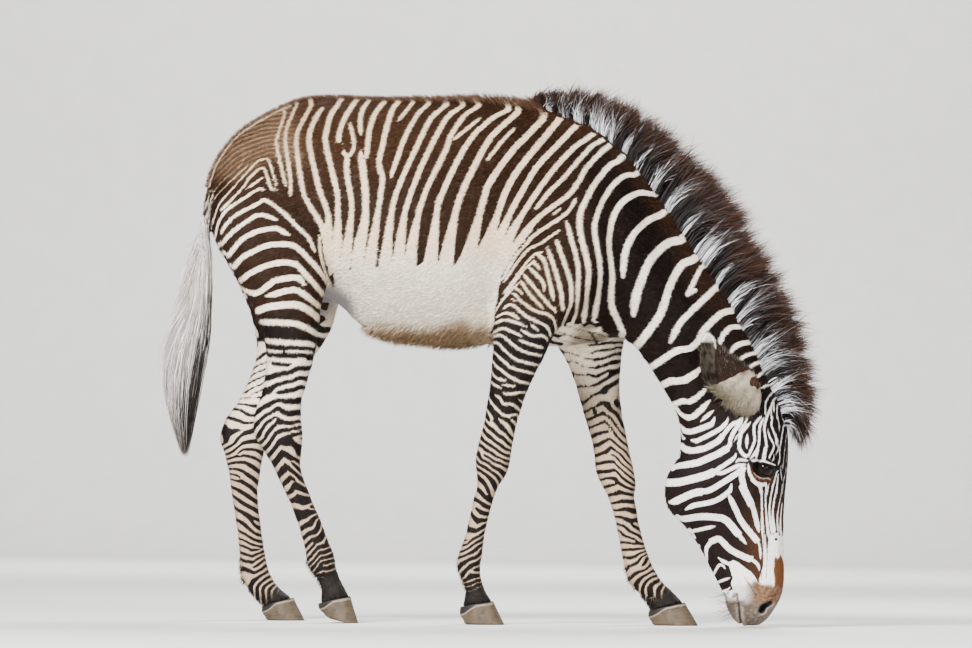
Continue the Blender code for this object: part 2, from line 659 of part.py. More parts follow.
def dress(parts, helpers, flesh, clear_flesh):
    """Everything that isn't flesh, each trimmed to leave a gap to its neighbours."""
    found = {}
    below = slab("below_floor", (-1.0, -0.05), (1.0, -0.05), -0.5, 0.5, 0.10, helpers)
    for leg, (coronet_toe, coronet_heel, toe, heel, side, middle) in HOOVES.items():
        horn = hoof("hoof_" + leg, coronet_toe, coronet_heel, toe, heel, side, middle, parts)
        cut_away(horn, below)
        horn = baked(horn, "hoof_" + leg, parts)
        cut_away(flesh["shank_" + leg], grown(horn, "clear_hoof_" + leg, GAP, helpers))
        found[horn.name] = horn
    for side, word in ((RIGHT, "right"), (LEFT, "left")):
        ball = eye("eye_" + word, side, parts)
        cut_away(flesh["head"], grown(ball, "clear_eye_" + word, GAP, helpers))
        found[ball.name] = ball
    for name in list(flesh):
        if name == "head" or name.startswith("shank"):
            flesh[name] = keep_largest(baked(flesh[name], name, parts), name, parts)
    for side, word in ((RIGHT, "right"), (LEFT, "left")):
        leaf = ear("ear_" + word, side, parts)
        cut_away(leaf, clear_flesh)
        found["ear_" + word] = keep_largest(baked(leaf, "ear_" + word, parts), "ear_" + word, parts)
    mane = loft("mane", MANE, parts, sides=10, steps=2, roundness=0.5)
    cut_away(mane, clear_flesh)
    for word in ("right", "left"):
        cut_away(mane, grown(found["ear_" + word], "clear_mane_ear_" + word, GAP, helpers))
    found["mane"] = keep_largest(baked(mane, "mane", parts), "mane", parts)
    dock = loft("tail_dock", TAIL_DOCK, parts, sides=12, steps=2)
    cut_away(dock, clear_flesh)
    found["tail_dock"] = keep_largest(baked(dock, "tail_dock", parts), "tail_dock", parts)
    found["tail_tuft"] = loft("tail_tuft", TAIL_TUFT, parts, sides=10, steps=2)
    return found


def main():
    for item in list(bpy.data.objects):
        bpy.data.objects.remove(item)
    scene = bpy.context.scene
    parts = bpy.data.collections.new("zebra")
    helpers = bpy.data.collections.new("helpers")
    scene.collection.children.link(parts)
    scene.collection.children.link(helpers)
    whole = whole_flesh(parts, helpers)
    clear_flesh = grown(whole, "clear_flesh", HAIR_GAP, helpers)
    flesh = part_flesh(whole, parts, helpers)
    others = dress(parts, helpers, flesh, clear_flesh)
    for name, item in {**flesh, **others}.items():
        if name.startswith("hoof"):
            wear(item, "hoof")
        elif name.startswith("eye"):
            wear(item, "eye")
        elif name in ("mane", "tail_tuft"):
            wear(item, "hair")
        else:
            wear(item, "coat")
    for item in parts.objects:
        item.data.transform(Matrix.Translation((-CENTRE_X, 0, 0)))
    for item in list(helpers.objects):
        bpy.data.objects.remove(item)


main()
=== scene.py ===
"""Looks of a young Grevy's zebra, grazing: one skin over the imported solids, with its markings,
eyes, hooves, short coat in tufts, mane, dorsal fringe, tail and whiskers.

Metres, +Z up, the animal faces +X and its right side is at -Y. The drawing's numbers are the
solids' own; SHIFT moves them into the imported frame, whose origin is under the middle of the box.
"""

import math

import bmesh
import bpy
import numpy as np
from bpy.props import FloatProperty, FloatVectorProperty, PointerProperty
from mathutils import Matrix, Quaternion, Vector, kdtree
from mathutils.bvhtree import BVHTree


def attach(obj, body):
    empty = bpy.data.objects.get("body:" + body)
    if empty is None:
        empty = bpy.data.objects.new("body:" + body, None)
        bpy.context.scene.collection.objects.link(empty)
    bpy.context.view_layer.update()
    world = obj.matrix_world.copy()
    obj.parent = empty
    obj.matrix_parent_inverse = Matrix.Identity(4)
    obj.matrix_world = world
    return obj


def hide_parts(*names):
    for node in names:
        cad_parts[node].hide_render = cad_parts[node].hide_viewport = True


bl_info = {
    "name": "Grevy's zebra",
    "version": (1, 0, 0),
    "blender": (4, 5, 0),
    "location": "View3D > Sidebar > Zebra",
    "description": "Dresses the packed zebra with skin, markings, coat, mane, tail, eyes and hooves",
    "category": "Object",
}

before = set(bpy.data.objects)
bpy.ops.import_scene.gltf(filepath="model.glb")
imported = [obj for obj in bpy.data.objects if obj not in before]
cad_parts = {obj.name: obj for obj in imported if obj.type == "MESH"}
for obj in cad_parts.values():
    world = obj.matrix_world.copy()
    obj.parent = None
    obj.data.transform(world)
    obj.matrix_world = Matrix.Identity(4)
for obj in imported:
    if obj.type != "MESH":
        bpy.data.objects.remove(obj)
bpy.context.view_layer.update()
SHIFT = np.array([0.012, 0.0, 0.0])
RIGHT, LEFT = -1, 1
SIDES = ((RIGHT, "right"), (LEFT, "left"))
FLESH_NODES = [
    "head", "neck", "trunk", "tail_dock", "ear_left", "ear_right",
    "forearm_left", "forearm_right", "shank_fore_left", "shank_fore_right",
    "thigh_left", "thigh_right", "shank_hind_left", "shank_hind_right",
]
SKIN_CELL = 0.0056          # size of the cells that the body is merged in
COAT_DEPTH = 0.0035         # how far the skin of the body lies inside the outline, under its hair
FACE_DEPTH = 0.0014         # the same on the head and the legs
STRIPE_STEP = 0.0022        # from place to place along a stripe
HAIR_EDGE = 0.0007          # how far from a stripe's edge the hair is quite dark or quite white
FLOOR_GAP = 0.001           # the least height of any hair above the floor
BAKE_PATCH = 0.003          # size of each hair's patch on the unwrapped skin
LEG_ROUNDING = 0.86         # a leg's width at a fifth of its depth, as a share of the full width


# ----------------------- Stations and guides ------------------------

# Stations in millimetres, as in the solids: front or top edge x, z, back or bottom edge x, z, then
# the half width at a fifth, a half and four fifths of the way between them. A leg's row has one half
# width and the place of its middle across the body.
TRUNK = [
    (-700, 1030, -700, 965, 20, 28, 22), (-680, 1085, -682, 915, 50, 70, 60),
    (-630, 1150, -630, 850, 90, 118, 100), (-560, 1198, -560, 810, 112, 150, 125),
    (-480, 1235, -470, 780, 122, 168, 130), (-400, 1243, -385, 745, 122, 176, 130),
    (-300, 1241, -300, 676, 124, 190, 138), (-200, 1241, -200, 658, 126, 202, 150),
    (-100, 1241, -100, 650, 122, 200, 150), (0, 1240, 0, 662, 108, 184, 138),
    (90, 1230, 90, 655, 90, 164, 120), (170, 1202, 170, 655, 80, 148, 108),
    (235, 1165, 240, 665, 72, 132, 100), (285, 1080, 295, 690, 60, 105, 80),
]
NECK = [
    (130, 1190, 200, 760, 75, 110, 90), (215, 1178, 285, 678, 70, 118, 90),
    (300, 1118, 318, 655, 56, 106, 82), (375, 1020, 340, 625, 46, 90, 72),
    (440, 925, 360, 595, 42, 78, 64), (503, 832, 382, 562, 40, 70, 58), (560, 742, 402, 528, 40, 64, 54),
    (606, 656, 417, 492, 44, 60, 52), (634, 592, 424, 458, 52, 60, 50), (655, 540, 424, 425, 58, 60, 46),
]
HEAD = [
    (630, 588, 470, 470, 44, 50, 30), (660, 535, 428, 430, 60, 66, 44), (677, 480, 422, 402, 66, 76, 50),
    (682, 430, 406, 376, 78, 82, 54), (681, 380, 392, 345, 80, 84, 56), (677, 330, 389, 308, 70, 78, 54),
    (674, 280, 401, 272, 56, 68, 50), (673, 230, 440, 232, 46, 56, 44), (674, 180, 474, 184, 41, 47, 38),
    (676, 140, 497, 142, 40, 43, 34), (675, 100, 517, 103, 42, 44, 34), (668, 69, 531, 75, 43, 45, 36),
    (655, 44, 539, 45, 40, 43, 36), (637, 19, 554, 19, 30, 33, 28), (618, 3, 575, 3, 12, 14, 12),
]
HIND_RIGHT = [
    (-450, 1120, -590, 1110, 44, 80), (-420, 1050, -650, 1040, 74, 88), (-400, 960, -690, 965, 88, 88),
    (-392, 880, -676, 885, 88, 94), (-404, 800, -625, 806, 78, 106), (-421, 735, -586, 735, 68, 110),
    (-427, 680, -560, 672, 58, 112), (-436, 625, -549, 620, 48, 112), (-448, 572, -554, 565, 40, 110),
    (-463, 520, -566, 510, 34, 108), (-465, 475, -576, 470, 34, 106), (-461, 432, -575, 436, 36, 105),
    (-463, 395, -548, 392, 34, 105), (-464, 358, -529, 360, 30, 105), (-447, 310, -504, 308, 26, 106),
    (-421, 250, -478, 250, 24, 108), (-399, 196, -459, 197, 25, 110), (-383, 158, -450, 158, 28, 111),
    (-376, 122, -442, 126, 31, 112), (-366, 98, -424, 103, 28, 112), (-355, 78, -414, 78, 28, 112),
    (-346, 60, -414, 47, 31, 112),
]
HIND_LEFT = [
    (-450, 1120, -590, 1110, 44, 80), (-420, 1050, -650, 1040, 74, 88), (-396, 960, -690, 965, 88, 88),
    (-380, 880, -676, 885, 88, 94), (-378, 800, -634, 806, 78, 104), (-388, 735, -603, 740, 68, 106),
    (-410, 680, -585, 680, 58, 108), (-446, 625, -583, 622, 48, 108), (-488, 572, -603, 565, 40, 106),
    (-527, 522, -628, 510, 34, 104), (-549, 475, -658, 465, 34, 102), (-557, 432, -667, 430, 36, 102),
    (-560, 395, -655, 392, 34, 102), (-567, 355, -645, 352, 31, 102), (-573, 305, -638, 308, 27, 103),
    (-568, 250, -629, 250, 25, 105), (-561, 200, -621, 200, 25, 107), (-555, 162, -616, 160, 28, 108),
    (-547, 128, -613, 122, 31, 109), (-536, 100, -610, 92, 30, 109), (-518, 76, -582, 60, 28, 109),
    (-488, 54, -556, 34, 32, 109),
]
FORE_RIGHT = [
    (160, 1080, 70, 1070, 30, 66), (215, 1010, 30, 1000, 54, 74), (262, 920, 0, 920, 68, 86),
    (262, 840, -16, 850, 73, 94), (215, 765, -26, 785, 72, 102), (138, 696, -22, 715, 62, 104),
    (104, 632, -21, 640, 52, 102), (73, 570, -24, 570, 43, 99), (54, 520, -31, 520, 38, 96),
    (40, 470, -39, 470, 34, 94), (32, 426, -51, 424, 32, 93), (25, 388, -56, 386, 33, 92),
    (18, 358, -54, 352, 34, 92), (0, 326, -53, 320, 30, 92), (-14, 287, -62, 285, 25, 92),
    (-26, 238, -72, 238, 22, 92), (-32, 204, -80, 203, 22, 92), (-36, 172, -92, 170, 26, 92),
    (-40, 140, -97, 142, 29, 92), (-39, 112, -91, 114, 28, 92), (-29, 82, -77, 80, 27, 92),
    (-13, 55, -83, 42, 32, 92),
]
FORE_LEFT = [
    (170, 1080, 80, 1070, 30, 66), (230, 1010, 40, 1000, 54, 74), (276, 920, 20, 920, 68, 86),
    (296, 840, 20, 850, 73, 94), (306, 765, 50, 785, 72, 102), (298, 696, 98, 705, 62, 104),
    (289, 632, 148, 638, 52, 102), (285, 570, 176, 570, 43, 99), (289, 520, 193, 520, 39, 96),
    (298, 470, 208, 470, 35, 94), (308, 422, 221, 424, 33, 93), (317, 378, 228, 378, 34, 92),
    (324, 338, 238, 338, 34, 92), (322, 306, 256, 308, 29, 92), (329, 268, 270, 270, 25, 92),
    (337, 230, 280, 230, 23, 92), (348, 192, 288, 190, 24, 92), (360, 160, 296, 157, 27, 92),
    (374, 130, 303, 124, 30, 92), (393, 101, 313, 96, 29, 92), (418, 78, 346, 64, 27, 92),
    (442, 55, 364, 36, 32, 92),
]
TAIL_DOCK = [
    (-672, 1060, -690, 1000, 14, 16, 14), (-690, 1000, -708, 1004, 12, 14, 12),
    (-693, 950, -714, 950, 12, 14, 12), (-692, 890, -720, 890, 13, 16, 13),
    (-690, 840, -728, 840, 15, 19, 15), (-690, 790, -736, 790, 18, 23, 18),
]
LEG_ROWS = {"hind_right": (HIND_RIGHT, RIGHT), "hind_left": (HIND_LEFT, LEFT),
            "fore_right": (FORE_RIGHT, RIGHT), "fore_left": (FORE_LEFT, LEFT)}
# Hooves in millimetres: toe and heel of the coronet x, z, the same at the sole, middle across.
HOOVES = {
    "hind_right": (-345, 63, -418, 45, -323, -6, -403, 13, 112),
    "hind_left": (-486, 54, -558, 34, -457, -1, -552, -1, 109),
    "fore_right": (-11, 55, -86, 41, 17, -1, -80, -1, 92),
    "fore_left": (444, 55, 361, 35, 478, -1, 366, -1, 92),
}
HOOF_TOP_HALF, HOOF_SOLE_HALF = 0.0335, 0.0405
# Mane in millimetres: its outer edge x, z, then a place inside the neck under it x, z.
MANE = [
    (70, 1240, 85, 1180), (140, 1262, 150, 1160), (215, 1272, 195, 1140), (300, 1240, 240, 1100),
    (390, 1180, 290, 1050), (480, 1095, 350, 980), (560, 1010, 410, 890), (625, 915, 470, 800),
    (680, 815, 525, 715), (724, 710, 570, 635), (750, 600, 605, 570), (754, 510, 640, 520),
    (738, 455, 655, 503), (724, 410, 665, 492),
]
EYE_CENTRE = (0.622, 0.374)      # x, z
EYE_OUT = 0.0655                 # distance of the eye's middle from the body's middle plane
EYE_RADIUS = 0.0205
# Middle lines of the white stripes of the near side, in millimetres: half width, then the guide
# points x, z, x, z ... on the body's middle plane, as seen from EYE_POINT. The group "dark" is dark.
EYE_POINT = (-0.036, -12.0, 0.25)
STROKES = {
    "haunch": [
        (1.2, -680, 1012, -665, 1034, -635, 1058, -620, 1075, -615, 1087), (1.5, -692, 982, -700, 953),
        (1.7, -688, 985, -698, 949), (2, -697, 922, -693, 946, -677, 1000, -611, 1067, -605, 1078),
        (2.5, -689, 903, -684, 939, -670, 980, -661, 994, -585, 1080, -572, 1087, -558, 1090, -552, 1080,
         -534, 1024),
        (3.2, -668, 966, -619, 1016, -601, 1043, -580, 1064, -568, 1068, -562, 1060, -550, 1026, -544,
         1018, -532, 1018), (3, -605, 1020, -568, 1046),
        (3.6, -681, 889, -670, 939, -655, 965, -644, 975, -584, 1015, -572, 1020, -565, 1014),
        (4.2, -667, 910, -652, 935, -626, 959, -576, 986, -566, 994, -552, 988, -524, 968, -480, 926,
         -458, 904, -442, 870),
        (4.8, -674, 874, -668, 886, -661, 890, -635, 919, -590, 952, -576, 957, -562, 957, -530, 946),
        (5.5, -664, 860, -655, 868, -647, 862, -621, 893, -607, 905, -576, 920, -544, 926, -528, 924,
         -502, 910),
        (6.2, -652, 831, -641, 838, -632, 836, -610, 859, -560, 884, -530, 889, -498, 888, -476, 874,
         -432, 828, -406, 786),
        (6.4, -637, 812, -622, 800, -595, 819, -560, 837, -522, 846, -494, 844, -476, 832, -420, 770),
        (6.7, -618, 788, -598, 776, -576, 774, -540, 800, -512, 808, -482, 810, -464, 792),
        (6.7, -556, 766, -504, 780, -478, 778, -434, 746, -418, 728),
        (8.1, -582, 728, -558, 738, -528, 744, -474, 744, -418, 704),
        (3.9, -434, 912, -426, 852, -404, 790), (6.5, -575, 705, -500, 703, -470, 697, -425, 672),
        (5.8, -568, 673, -550, 660, -460, 655, -435, 648), (3.4, -563, 645, -545, 637, -515, 636),
        (3, -510, 636, -480, 637, -440, 632), (5.4, -563, 628, -545, 616, -500, 614, -450, 616),
        (5.4, -560, 604, -540, 598, -530, 598),
    ],
    "trunk": [
        (3.5, -518, 1198, -534, 1146, -536, 1120, -514, 1028),
        (4, -490, 1220, -502, 1192, -516, 1142, -504, 1054, -502, 1002),
        (4.9, -456, 1218, -484, 1164, -490, 1138, -488, 1106, -474, 1022, -464, 994, -430, 940, -420, 910,
         -416, 882),
        (5.6, -426, 1216, -444, 1190, -460, 1136, -440, 1042, -432, 1012, -420, 984, -412, 950, -412,
         878),
        (5.8, -386, 1232, -408, 1198, -418, 1164, -420, 1126, -396, 1030, -390, 992, -390, 894, -398,
         856),
        (5.6, -348, 1234, -372, 1198, -386, 1164, -390, 1134, -382, 1112, -370, 1096, -370, 1062, -358,
         994, -358, 952, -368, 864), (4.2, -364, 1178, -354, 1128, -360, 1106, -370, 1100),
        (4.9, -320, 1232, -336, 1206, -340, 1180, -338, 1148),
        (7.6, -338, 1112, -326, 1024, -324, 982, -326, 944, -340, 864),
        (5.6, -282, 1230, -300, 1208, -310, 1188, -318, 1158, -324, 1094),
        (5.8, -250, 1230, -268, 1200, -292, 1100, -292, 1070, -286, 1036, -310, 864),
        (4.4, -216, 1228, -250, 1184), (5.4, -178, 1226, -204, 1200, -234, 1144, -266, 1050),
        (5.8, -136, 1224, -166, 1198, -184, 1170, -242, 1040, -262, 972, -274, 862),
        (5.8, -98, 1222, -128, 1200, -150, 1168, -194, 1076, -230, 972, -244, 862),
        (5.8, -60, 1222, -90, 1202, -110, 1176, -126, 1148, -138, 1114, -188, 1004, -210, 908, -216, 862),
        (4.2, -56, 1194, -120, 1140),
        (6.3, 10, 1214, -24, 1196, -50, 1174, -70, 1154, -102, 1104, -148, 1004, -156, 966, -168, 858),
        (6.8, 32, 1208, -18, 1162, -36, 1140, -68, 1080, -102, 1004, -120, 928, -132, 856),
        (4.2, 28, 1172, 0, 1144, -40, 1092),
        (7.3, 50, 1148, 20, 1116, -28, 1048, -44, 1008, -76, 882, -92, 838),
        (7.3, 98, 1152, 42, 1082, 18, 1044, 0, 1004, -24, 930, -52, 858),
        (6.6, 144, 1150, 86, 1088, 62, 1052, 22, 978, -22, 878, -40, 850),
        (6.1, 196, 1148, 160, 1120, 102, 1052, 34, 946, 0, 874, -6, 844),
        (5.1, 234, 1146, 204, 1126, 142, 1054, 110, 1022, 76, 978),
        (5.6, 254, 1136, 228, 1114, 196, 1078, 178, 1046, 154, 1014, 96, 970, 68, 942, 18, 870, 0, 836),
    ],
    "shoulder": [
        (4.1, 174, 1008, 158, 980, 136, 960, 80, 922, 58, 900, 34, 872, 0, 812),
        (2.9, 138, 984, 118, 966), (2.9, 136, 932, 88, 898, 66, 888, 42, 862, 4, 806),
        (2.6, 98, 878, 82, 876, 62, 858, 4, 778), (2.3, 72, 854, 54, 838, 36, 814, -4, 754, -16, 730),
        (1.9, 42, 808, 4, 764, -10, 742), (5, 150, 954, 174, 870, 180, 834, 178, 754, 168, 710),
        (4.8, 126, 912, 158, 822, 164, 790, 162, 754, 142, 704), (4.6, 106, 892, 136, 802, 146, 738),
        (4.1, 82, 874, 96, 864, 106, 836, 124, 762), (3.2, 74, 855, 93, 836),
        (3.6, 63, 842, 89, 818, 98, 804, 101, 787), (3.4, 50, 827, 114, 752, 125, 744, 128, 733),
        (3.2, 43, 813, 66, 779, 99, 745), (2.6, 33, 794, 51, 777),
        (3.1, 25, 780, 33, 777, 44, 764, 70, 745, 88, 737, 105, 733, 120, 724, 127, 710, 129, 690),
        (2, 23, 768, 34, 762), (2.9, 2, 742, 21, 754, 34, 748, 58, 727, 106, 703, 118, 678),
        (2.6, -13, 722, 2, 731, 17, 733, 30, 728, 45, 718), (2.8, -16, 708, 13, 717, 60, 702),
        (2.8, 68, 708, 90, 692), (2.8, -16, 688, -4, 695, 11, 696, 50, 678),
        (2.9, 46, 694, 76, 680, 93, 682, 106, 676, 110, 668),
        (2.8, -17, 677, -4, 681, 7, 677, 48, 646, 98, 633), (2.8, 40, 670, 102, 651),
        (2.7, -17, 664, -4, 660, 11, 643, 30, 628, 48, 620, 89, 611),
        (2.7, -17, 642, 12, 615, 30, 603, 79, 591), (2.9, -20, 621, -7, 605, 31, 578, 68, 567),
        (2.7, -22, 599, -13, 583, 0, 576, 14, 574), (2.7, -25, 576, -16, 565, 2, 556),
        (2.3, 3, 564, 36, 560), (2.7, 5, 546, 16, 542, 53, 547, 60, 544),
        (2.9, -12, 540, 0, 531, 7, 519, 22, 519, 35, 514, 46, 504),
        (2.9, -29, 541, -18, 518, 10, 492, 38, 494, 41, 488), (2.3, 42, 531, 53, 522),
        (3.2, -34, 509, -7, 466), (1.9, -4, 484, 7, 466), (2, 12, 474, 20, 469, 28, 458, 37, 456),
        (1.8, 29, 479, 40, 474), (2.3, -36, 481, -27, 459, 8, 444), (1.7, 11, 457, 26, 443),
        (2.1, -42, 459, -33, 443), (1.9, -23, 437, -5, 425), (1.9, -45, 437, -34, 419, -17, 413, 2, 416),
        (1.8, -38, 397, -23, 382),
    ],
    "neck": [
        (6.5, 270, 1096, 252, 1086, 232, 1062, 212, 1034, 186, 980, 182, 948, 186, 916, 202, 854, 204,
         814, 194, 716),
        (6.2, 310, 1064, 288, 1062, 264, 1044, 244, 1016, 230, 988, 220, 956, 218, 924, 232, 830, 218,
         716),
        (7.2, 358, 1018, 326, 1022, 300, 1012, 276, 992, 260, 960, 254, 930, 252, 894, 260, 826, 260, 756,
         288, 694), (7.8, 372, 970, 346, 958, 320, 936, 300, 906, 288, 868, 286, 820),
        (9.6, 418, 910, 392, 904, 368, 884, 346, 856, 324, 800, 316, 768, 312, 730),
        (9, 448, 864, 426, 854, 410, 830, 396, 800, 374, 734, 330, 670), (5.3, 470, 846, 438, 782),
        (7.2, 544, 808, 516, 806, 498, 792, 430, 724, 412, 696, 400, 668),
        (7.7, 546, 746, 522, 740, 498, 720, 478, 698, 464, 672, 446, 656, 412, 648, 358, 612),
        (6, 566, 708, 542, 706, 524, 688, 514, 662),
        (8.4, 474, 612, 456, 594, 432, 580, 404, 578, 382, 568), (6, 586, 672, 556, 664, 540, 644),
        (6, 486, 562, 466, 542, 448, 530, 432, 532), (6.5, 494, 532, 458, 496, 434, 496, 410, 522),
        (4.3, 504, 510, 474, 484), (4, 560, 627, 575, 638, 592, 645, 612, 648),
        (4, 583, 608, 595, 618, 612, 626, 632, 630), (3.5, 603, 588, 620, 600, 642, 606),
        (2.6, 612, 562, 630, 570, 652, 572),
    ],
    "head": [
        (1.9, 626, 498, 626, 527, 633, 543, 645, 556), (1.9, 640, 494, 640, 523, 647, 539, 660, 548),
        (1.7, 653, 494, 654, 523, 662, 533),
        (6.5, 421, 488, 426, 474, 435, 462, 447, 459, 458, 461, 495, 475, 502, 482, 506, 493),
        (2.2, 426, 461, 431, 449, 437, 442),
        (5.5, 451, 439, 461, 438, 471, 440, 511, 461, 525, 471, 533, 480, 538, 491),
        (7.5, 432, 424, 436, 419, 448, 415, 461, 415, 475, 418, 488, 422, 514, 437, 525, 449),
        (5, 525, 449, 542, 471, 551, 479, 561, 484, 567, 491),
        (8.3, 412, 373, 423, 378, 459, 384, 472, 388, 512, 406, 536, 420),
        (5.2, 536, 420, 543, 431, 548, 452, 569, 485, 572, 494), (2.5, 427, 409, 424, 397),
        (9, 399, 338, 419, 339, 439, 343, 486, 356, 507, 365),
        (5, 507, 365, 547, 393, 555, 401, 558, 408),
        (4.6, 507, 365, 519, 362, 530, 364, 563, 380, 582, 383), (3.6, 557, 387, 566, 394, 587, 392),
        (8.5, 401, 292, 415, 294, 447, 309, 463, 315, 479, 318),
        (6.6, 479, 318, 495, 321, 510, 329, 556, 359, 575, 374),
        (6.8, 575, 374, 572, 364, 572, 353, 578, 327), (8.5, 574, 330, 596, 288),
        (6, 596, 288, 602, 272, 614, 225), (6, 440, 275, 460, 285, 508, 296, 541, 318, 548, 336),
        (6.5, 541, 313, 569, 255), (7.2, 569, 255, 580, 239, 611, 202),
        (2.6, 611, 202, 616, 192, 619, 160),
        (8.5, 424, 257, 435, 253, 479, 259, 521, 257, 532, 253, 542, 246, 567, 217),
        (5, 567, 217, 584, 196), (4.5, 451, 223, 510, 237), (5, 452, 228, 462, 211),
        (2.6, 474, 192, 476, 182), (5.4, 492, 153, 490, 180, 495, 192, 502, 201),
        (7.4, 502, 201, 518, 207, 530, 199, 549, 181, 586, 163, 597, 160),
        (4, 597, 160, 607, 153, 614, 144, 616, 134), (4.5, 519, 163, 530, 155, 551, 145),
        (3.2, 508, 123, 517, 140, 523, 146, 530, 144, 536, 137), (3.4, 519, 105, 547, 116),
        (2.8, 534, 85, 542, 88, 548, 94), (2.4, 538, 60, 543, 79),
        (3.6, 587, 385, 591, 361, 604, 342, 613, 334), (4.6, 597, 348, 606, 340, 617, 336, 628, 337),
        (4.4, 613, 338, 619, 318), (3.6, 594, 393, 621, 392, 651, 382),
        (4, 568, 453, 565, 428, 567, 418, 574, 408, 582, 403),
        (3.1, 582, 403, 589, 408, 600, 435, 601, 447, 599, 470, 603, 481, 617, 498),
        (3.8, 584, 454, 583, 432), (2.4, 583, 432, 583, 419),
        (3, 622, 493, 613, 470, 611, 430, 602, 410, 591, 396), (3.8, 608, 419, 605, 397),
        (3, 641, 526, 629, 493, 624, 470, 629, 431, 627, 421), (4.6, 627, 421, 623, 394),
        (2.2, 632, 467, 637, 449, 647, 427, 637, 402, 639, 396), (1.8, 647, 408, 647, 399, 643, 391),
        (1.6, 652, 454, 657, 424, 652, 407), (2.6, 644, 497, 641, 486, 641, 474, 650, 450, 653, 428),
        (2, 669, 476, 661, 421, 661, 398, 657, 383), (1.6, 655, 496, 659, 475, 658, 463),
        (2, 645, 530, 646, 506), (1.9, 553, 436, 559, 448, 582, 477), (3.2, 565, 443, 569, 455, 591, 483),
        (2.2, 582, 497, 581, 486, 563, 461),
    ],
    "nose": [
        (1.4, 676, 462, 668, 372), (1.3, 680, 450, 680, 430, 676, 388), (1.2, 662, 505, 672, 476),
        (2.6, 659, 370, 654, 364, 643, 320), (2.6, 658, 361, 654, 316),
        (1.3, 668, 384, 663, 376, 667, 346), (1.5, 675, 381, 676, 371, 671, 348, 668, 317),
        (1.2, 680, 351, 677, 324), (1.8, 636, 339, 632, 314),
        (2.6, 619, 326, 622, 240, 627, 200, 630, 128), (2.2, 630, 336, 629, 288, 637, 208),
        (2.2, 645, 336, 638, 275, 646, 218), (2.4, 656, 336, 646, 275, 651, 221),
        (1.8, 667, 336, 666, 320, 658, 272, 657, 256, 659, 224), (2.4, 668, 296, 665, 264, 664, 220),
    ],
    "dark": [
        # The first three, thin lines across the brisket, are painted shade in the creases of its folds.
        (1.2, 135, 690, 165, 680, 200, 673, 240, 670, 270, 665),
        (1, 150, 704, 185, 694, 215, 690, 245, 680), (0.9, 128, 676, 150, 668, 175, 664),
        (9, -386, 1113, -383, 1106), (3, 210, 688, 230, 662), (1.2, 579, 118, 594, 96, 606, 75),
        (0.8, 633, 220, 630, 118), (0.8, 624, 235, 623, 190, 618, 112), (5, 225, 507, 225, 503),
    ],
}


# -------------------- Curves, fields and meshes ---------------------

def smooth_rows(rows, steps):
    """Rows of numbers with a smooth curve read through them, steps rows to each gap."""
    rows = np.array(rows, float)
    padded = np.vstack([2 * rows[0] - rows[1], rows, 2 * rows[-1] - rows[-2]])
    found = []
    for i in range(1, len(padded) - 2):
        p0, p1, p2, p3 = padded[i - 1:i + 3]
        for k in range(steps):
            t = k / steps
            found.append(0.5 * (2 * p1 + (p2 - p0) * t + (2 * p0 - 5 * p1 + 4 * p2 - p3) * t * t
                                + (3 * p1 - p0 - 3 * p2 + p3) * t ** 3))
    return np.array(found + [rows[-1]])


def run_along(line):
    """How far along the line each of its points lies."""
    return np.concatenate([[0], np.cumsum(np.linalg.norm(np.diff(line, axis=0), axis=1))])


def even_line(points, spacing):
    """A smooth line through the points, with a point at about every spacing."""
    fine = smooth_rows(points, 12)
    length = run_along(fine)
    stops = np.linspace(0, length[-1], max(2, int(length[-1] / spacing) + 1))
    return np.stack([np.interp(stops, length, fine[:, k]) for k in range(fine.shape[1])], axis=1)


def ramp(low, high, value):
    """0 below low and 1 above high, smooth between them; low may be the larger."""
    t = np.clip((value - low) / (high - low), 0, 1)
    return t * t * (3 - 2 * t)


def bell(distance, reach):
    return np.exp(-(distance / reach) ** 2)


def unit(vectors):
    return vectors / np.maximum(np.linalg.norm(vectors, axis=-1, keepdims=True), 1e-9)


def ripple(points, size, seed):
    """Smooth noise between about -1 and 1, whose bumps are about size across."""
    rng = np.random.default_rng(seed)
    total = np.zeros(len(points))
    for _ in range(8):
        way = unit(rng.normal(size=3))
        total += np.sin(points @ (way * 2 * math.pi / (size * rng.uniform(1.3, 2.6)))
                        + rng.uniform(0, 2 * math.pi))
    return total / 3.2


def side_view(points):
    """x, distance from the middle plane, and z."""
    return points[:, 0], np.abs(points[:, 1]), points[:, 2]


def columns(*values):
    return np.stack(values, axis=1)


def xz(*millimetres):
    """Rows of two numbers in metres, from a run of millimetres."""
    return np.reshape(millimetres, (-1, 2)) * 0.001


def line_distance(x, z, line):
    """Distance in side view from points to a line of (x, z) points."""
    if len(line) == 1:
        return np.hypot(x - line[0, 0], z - line[0, 1])
    nearest = np.full(len(x), 9.0)
    for (ax, az), (bx, bz) in zip(line[:-1], line[1:]):
        dx, dz = bx - ax, bz - az
        t = np.clip(((x - ax) * dx + (z - az) * dz) / (dx * dx + dz * dz + 1e-12), 0, 1)
        nearest = np.minimum(nearest, np.hypot(x - ax - t * dx, z - az - t * dz))
    return nearest


def blend(first, second, share):
    """The first where share is 0, the second where it is 1."""
    return first * (1 - share) + second * share


def mix(first, second, share):
    """Rows of colours or directions blended, with one share for each row."""
    return blend(first, np.asarray(second, float), share[:, None])


def least(*values):
    return np.minimum.reduce(values)


def most(*values):
    return np.maximum.reduce(values)


def layers(colour, *coats):
    """A colour at each point under coats of (colour, share), the last of them on top."""
    for over, share in coats:
        colour = mix(np.asarray(colour, float), over, share)
    return colour


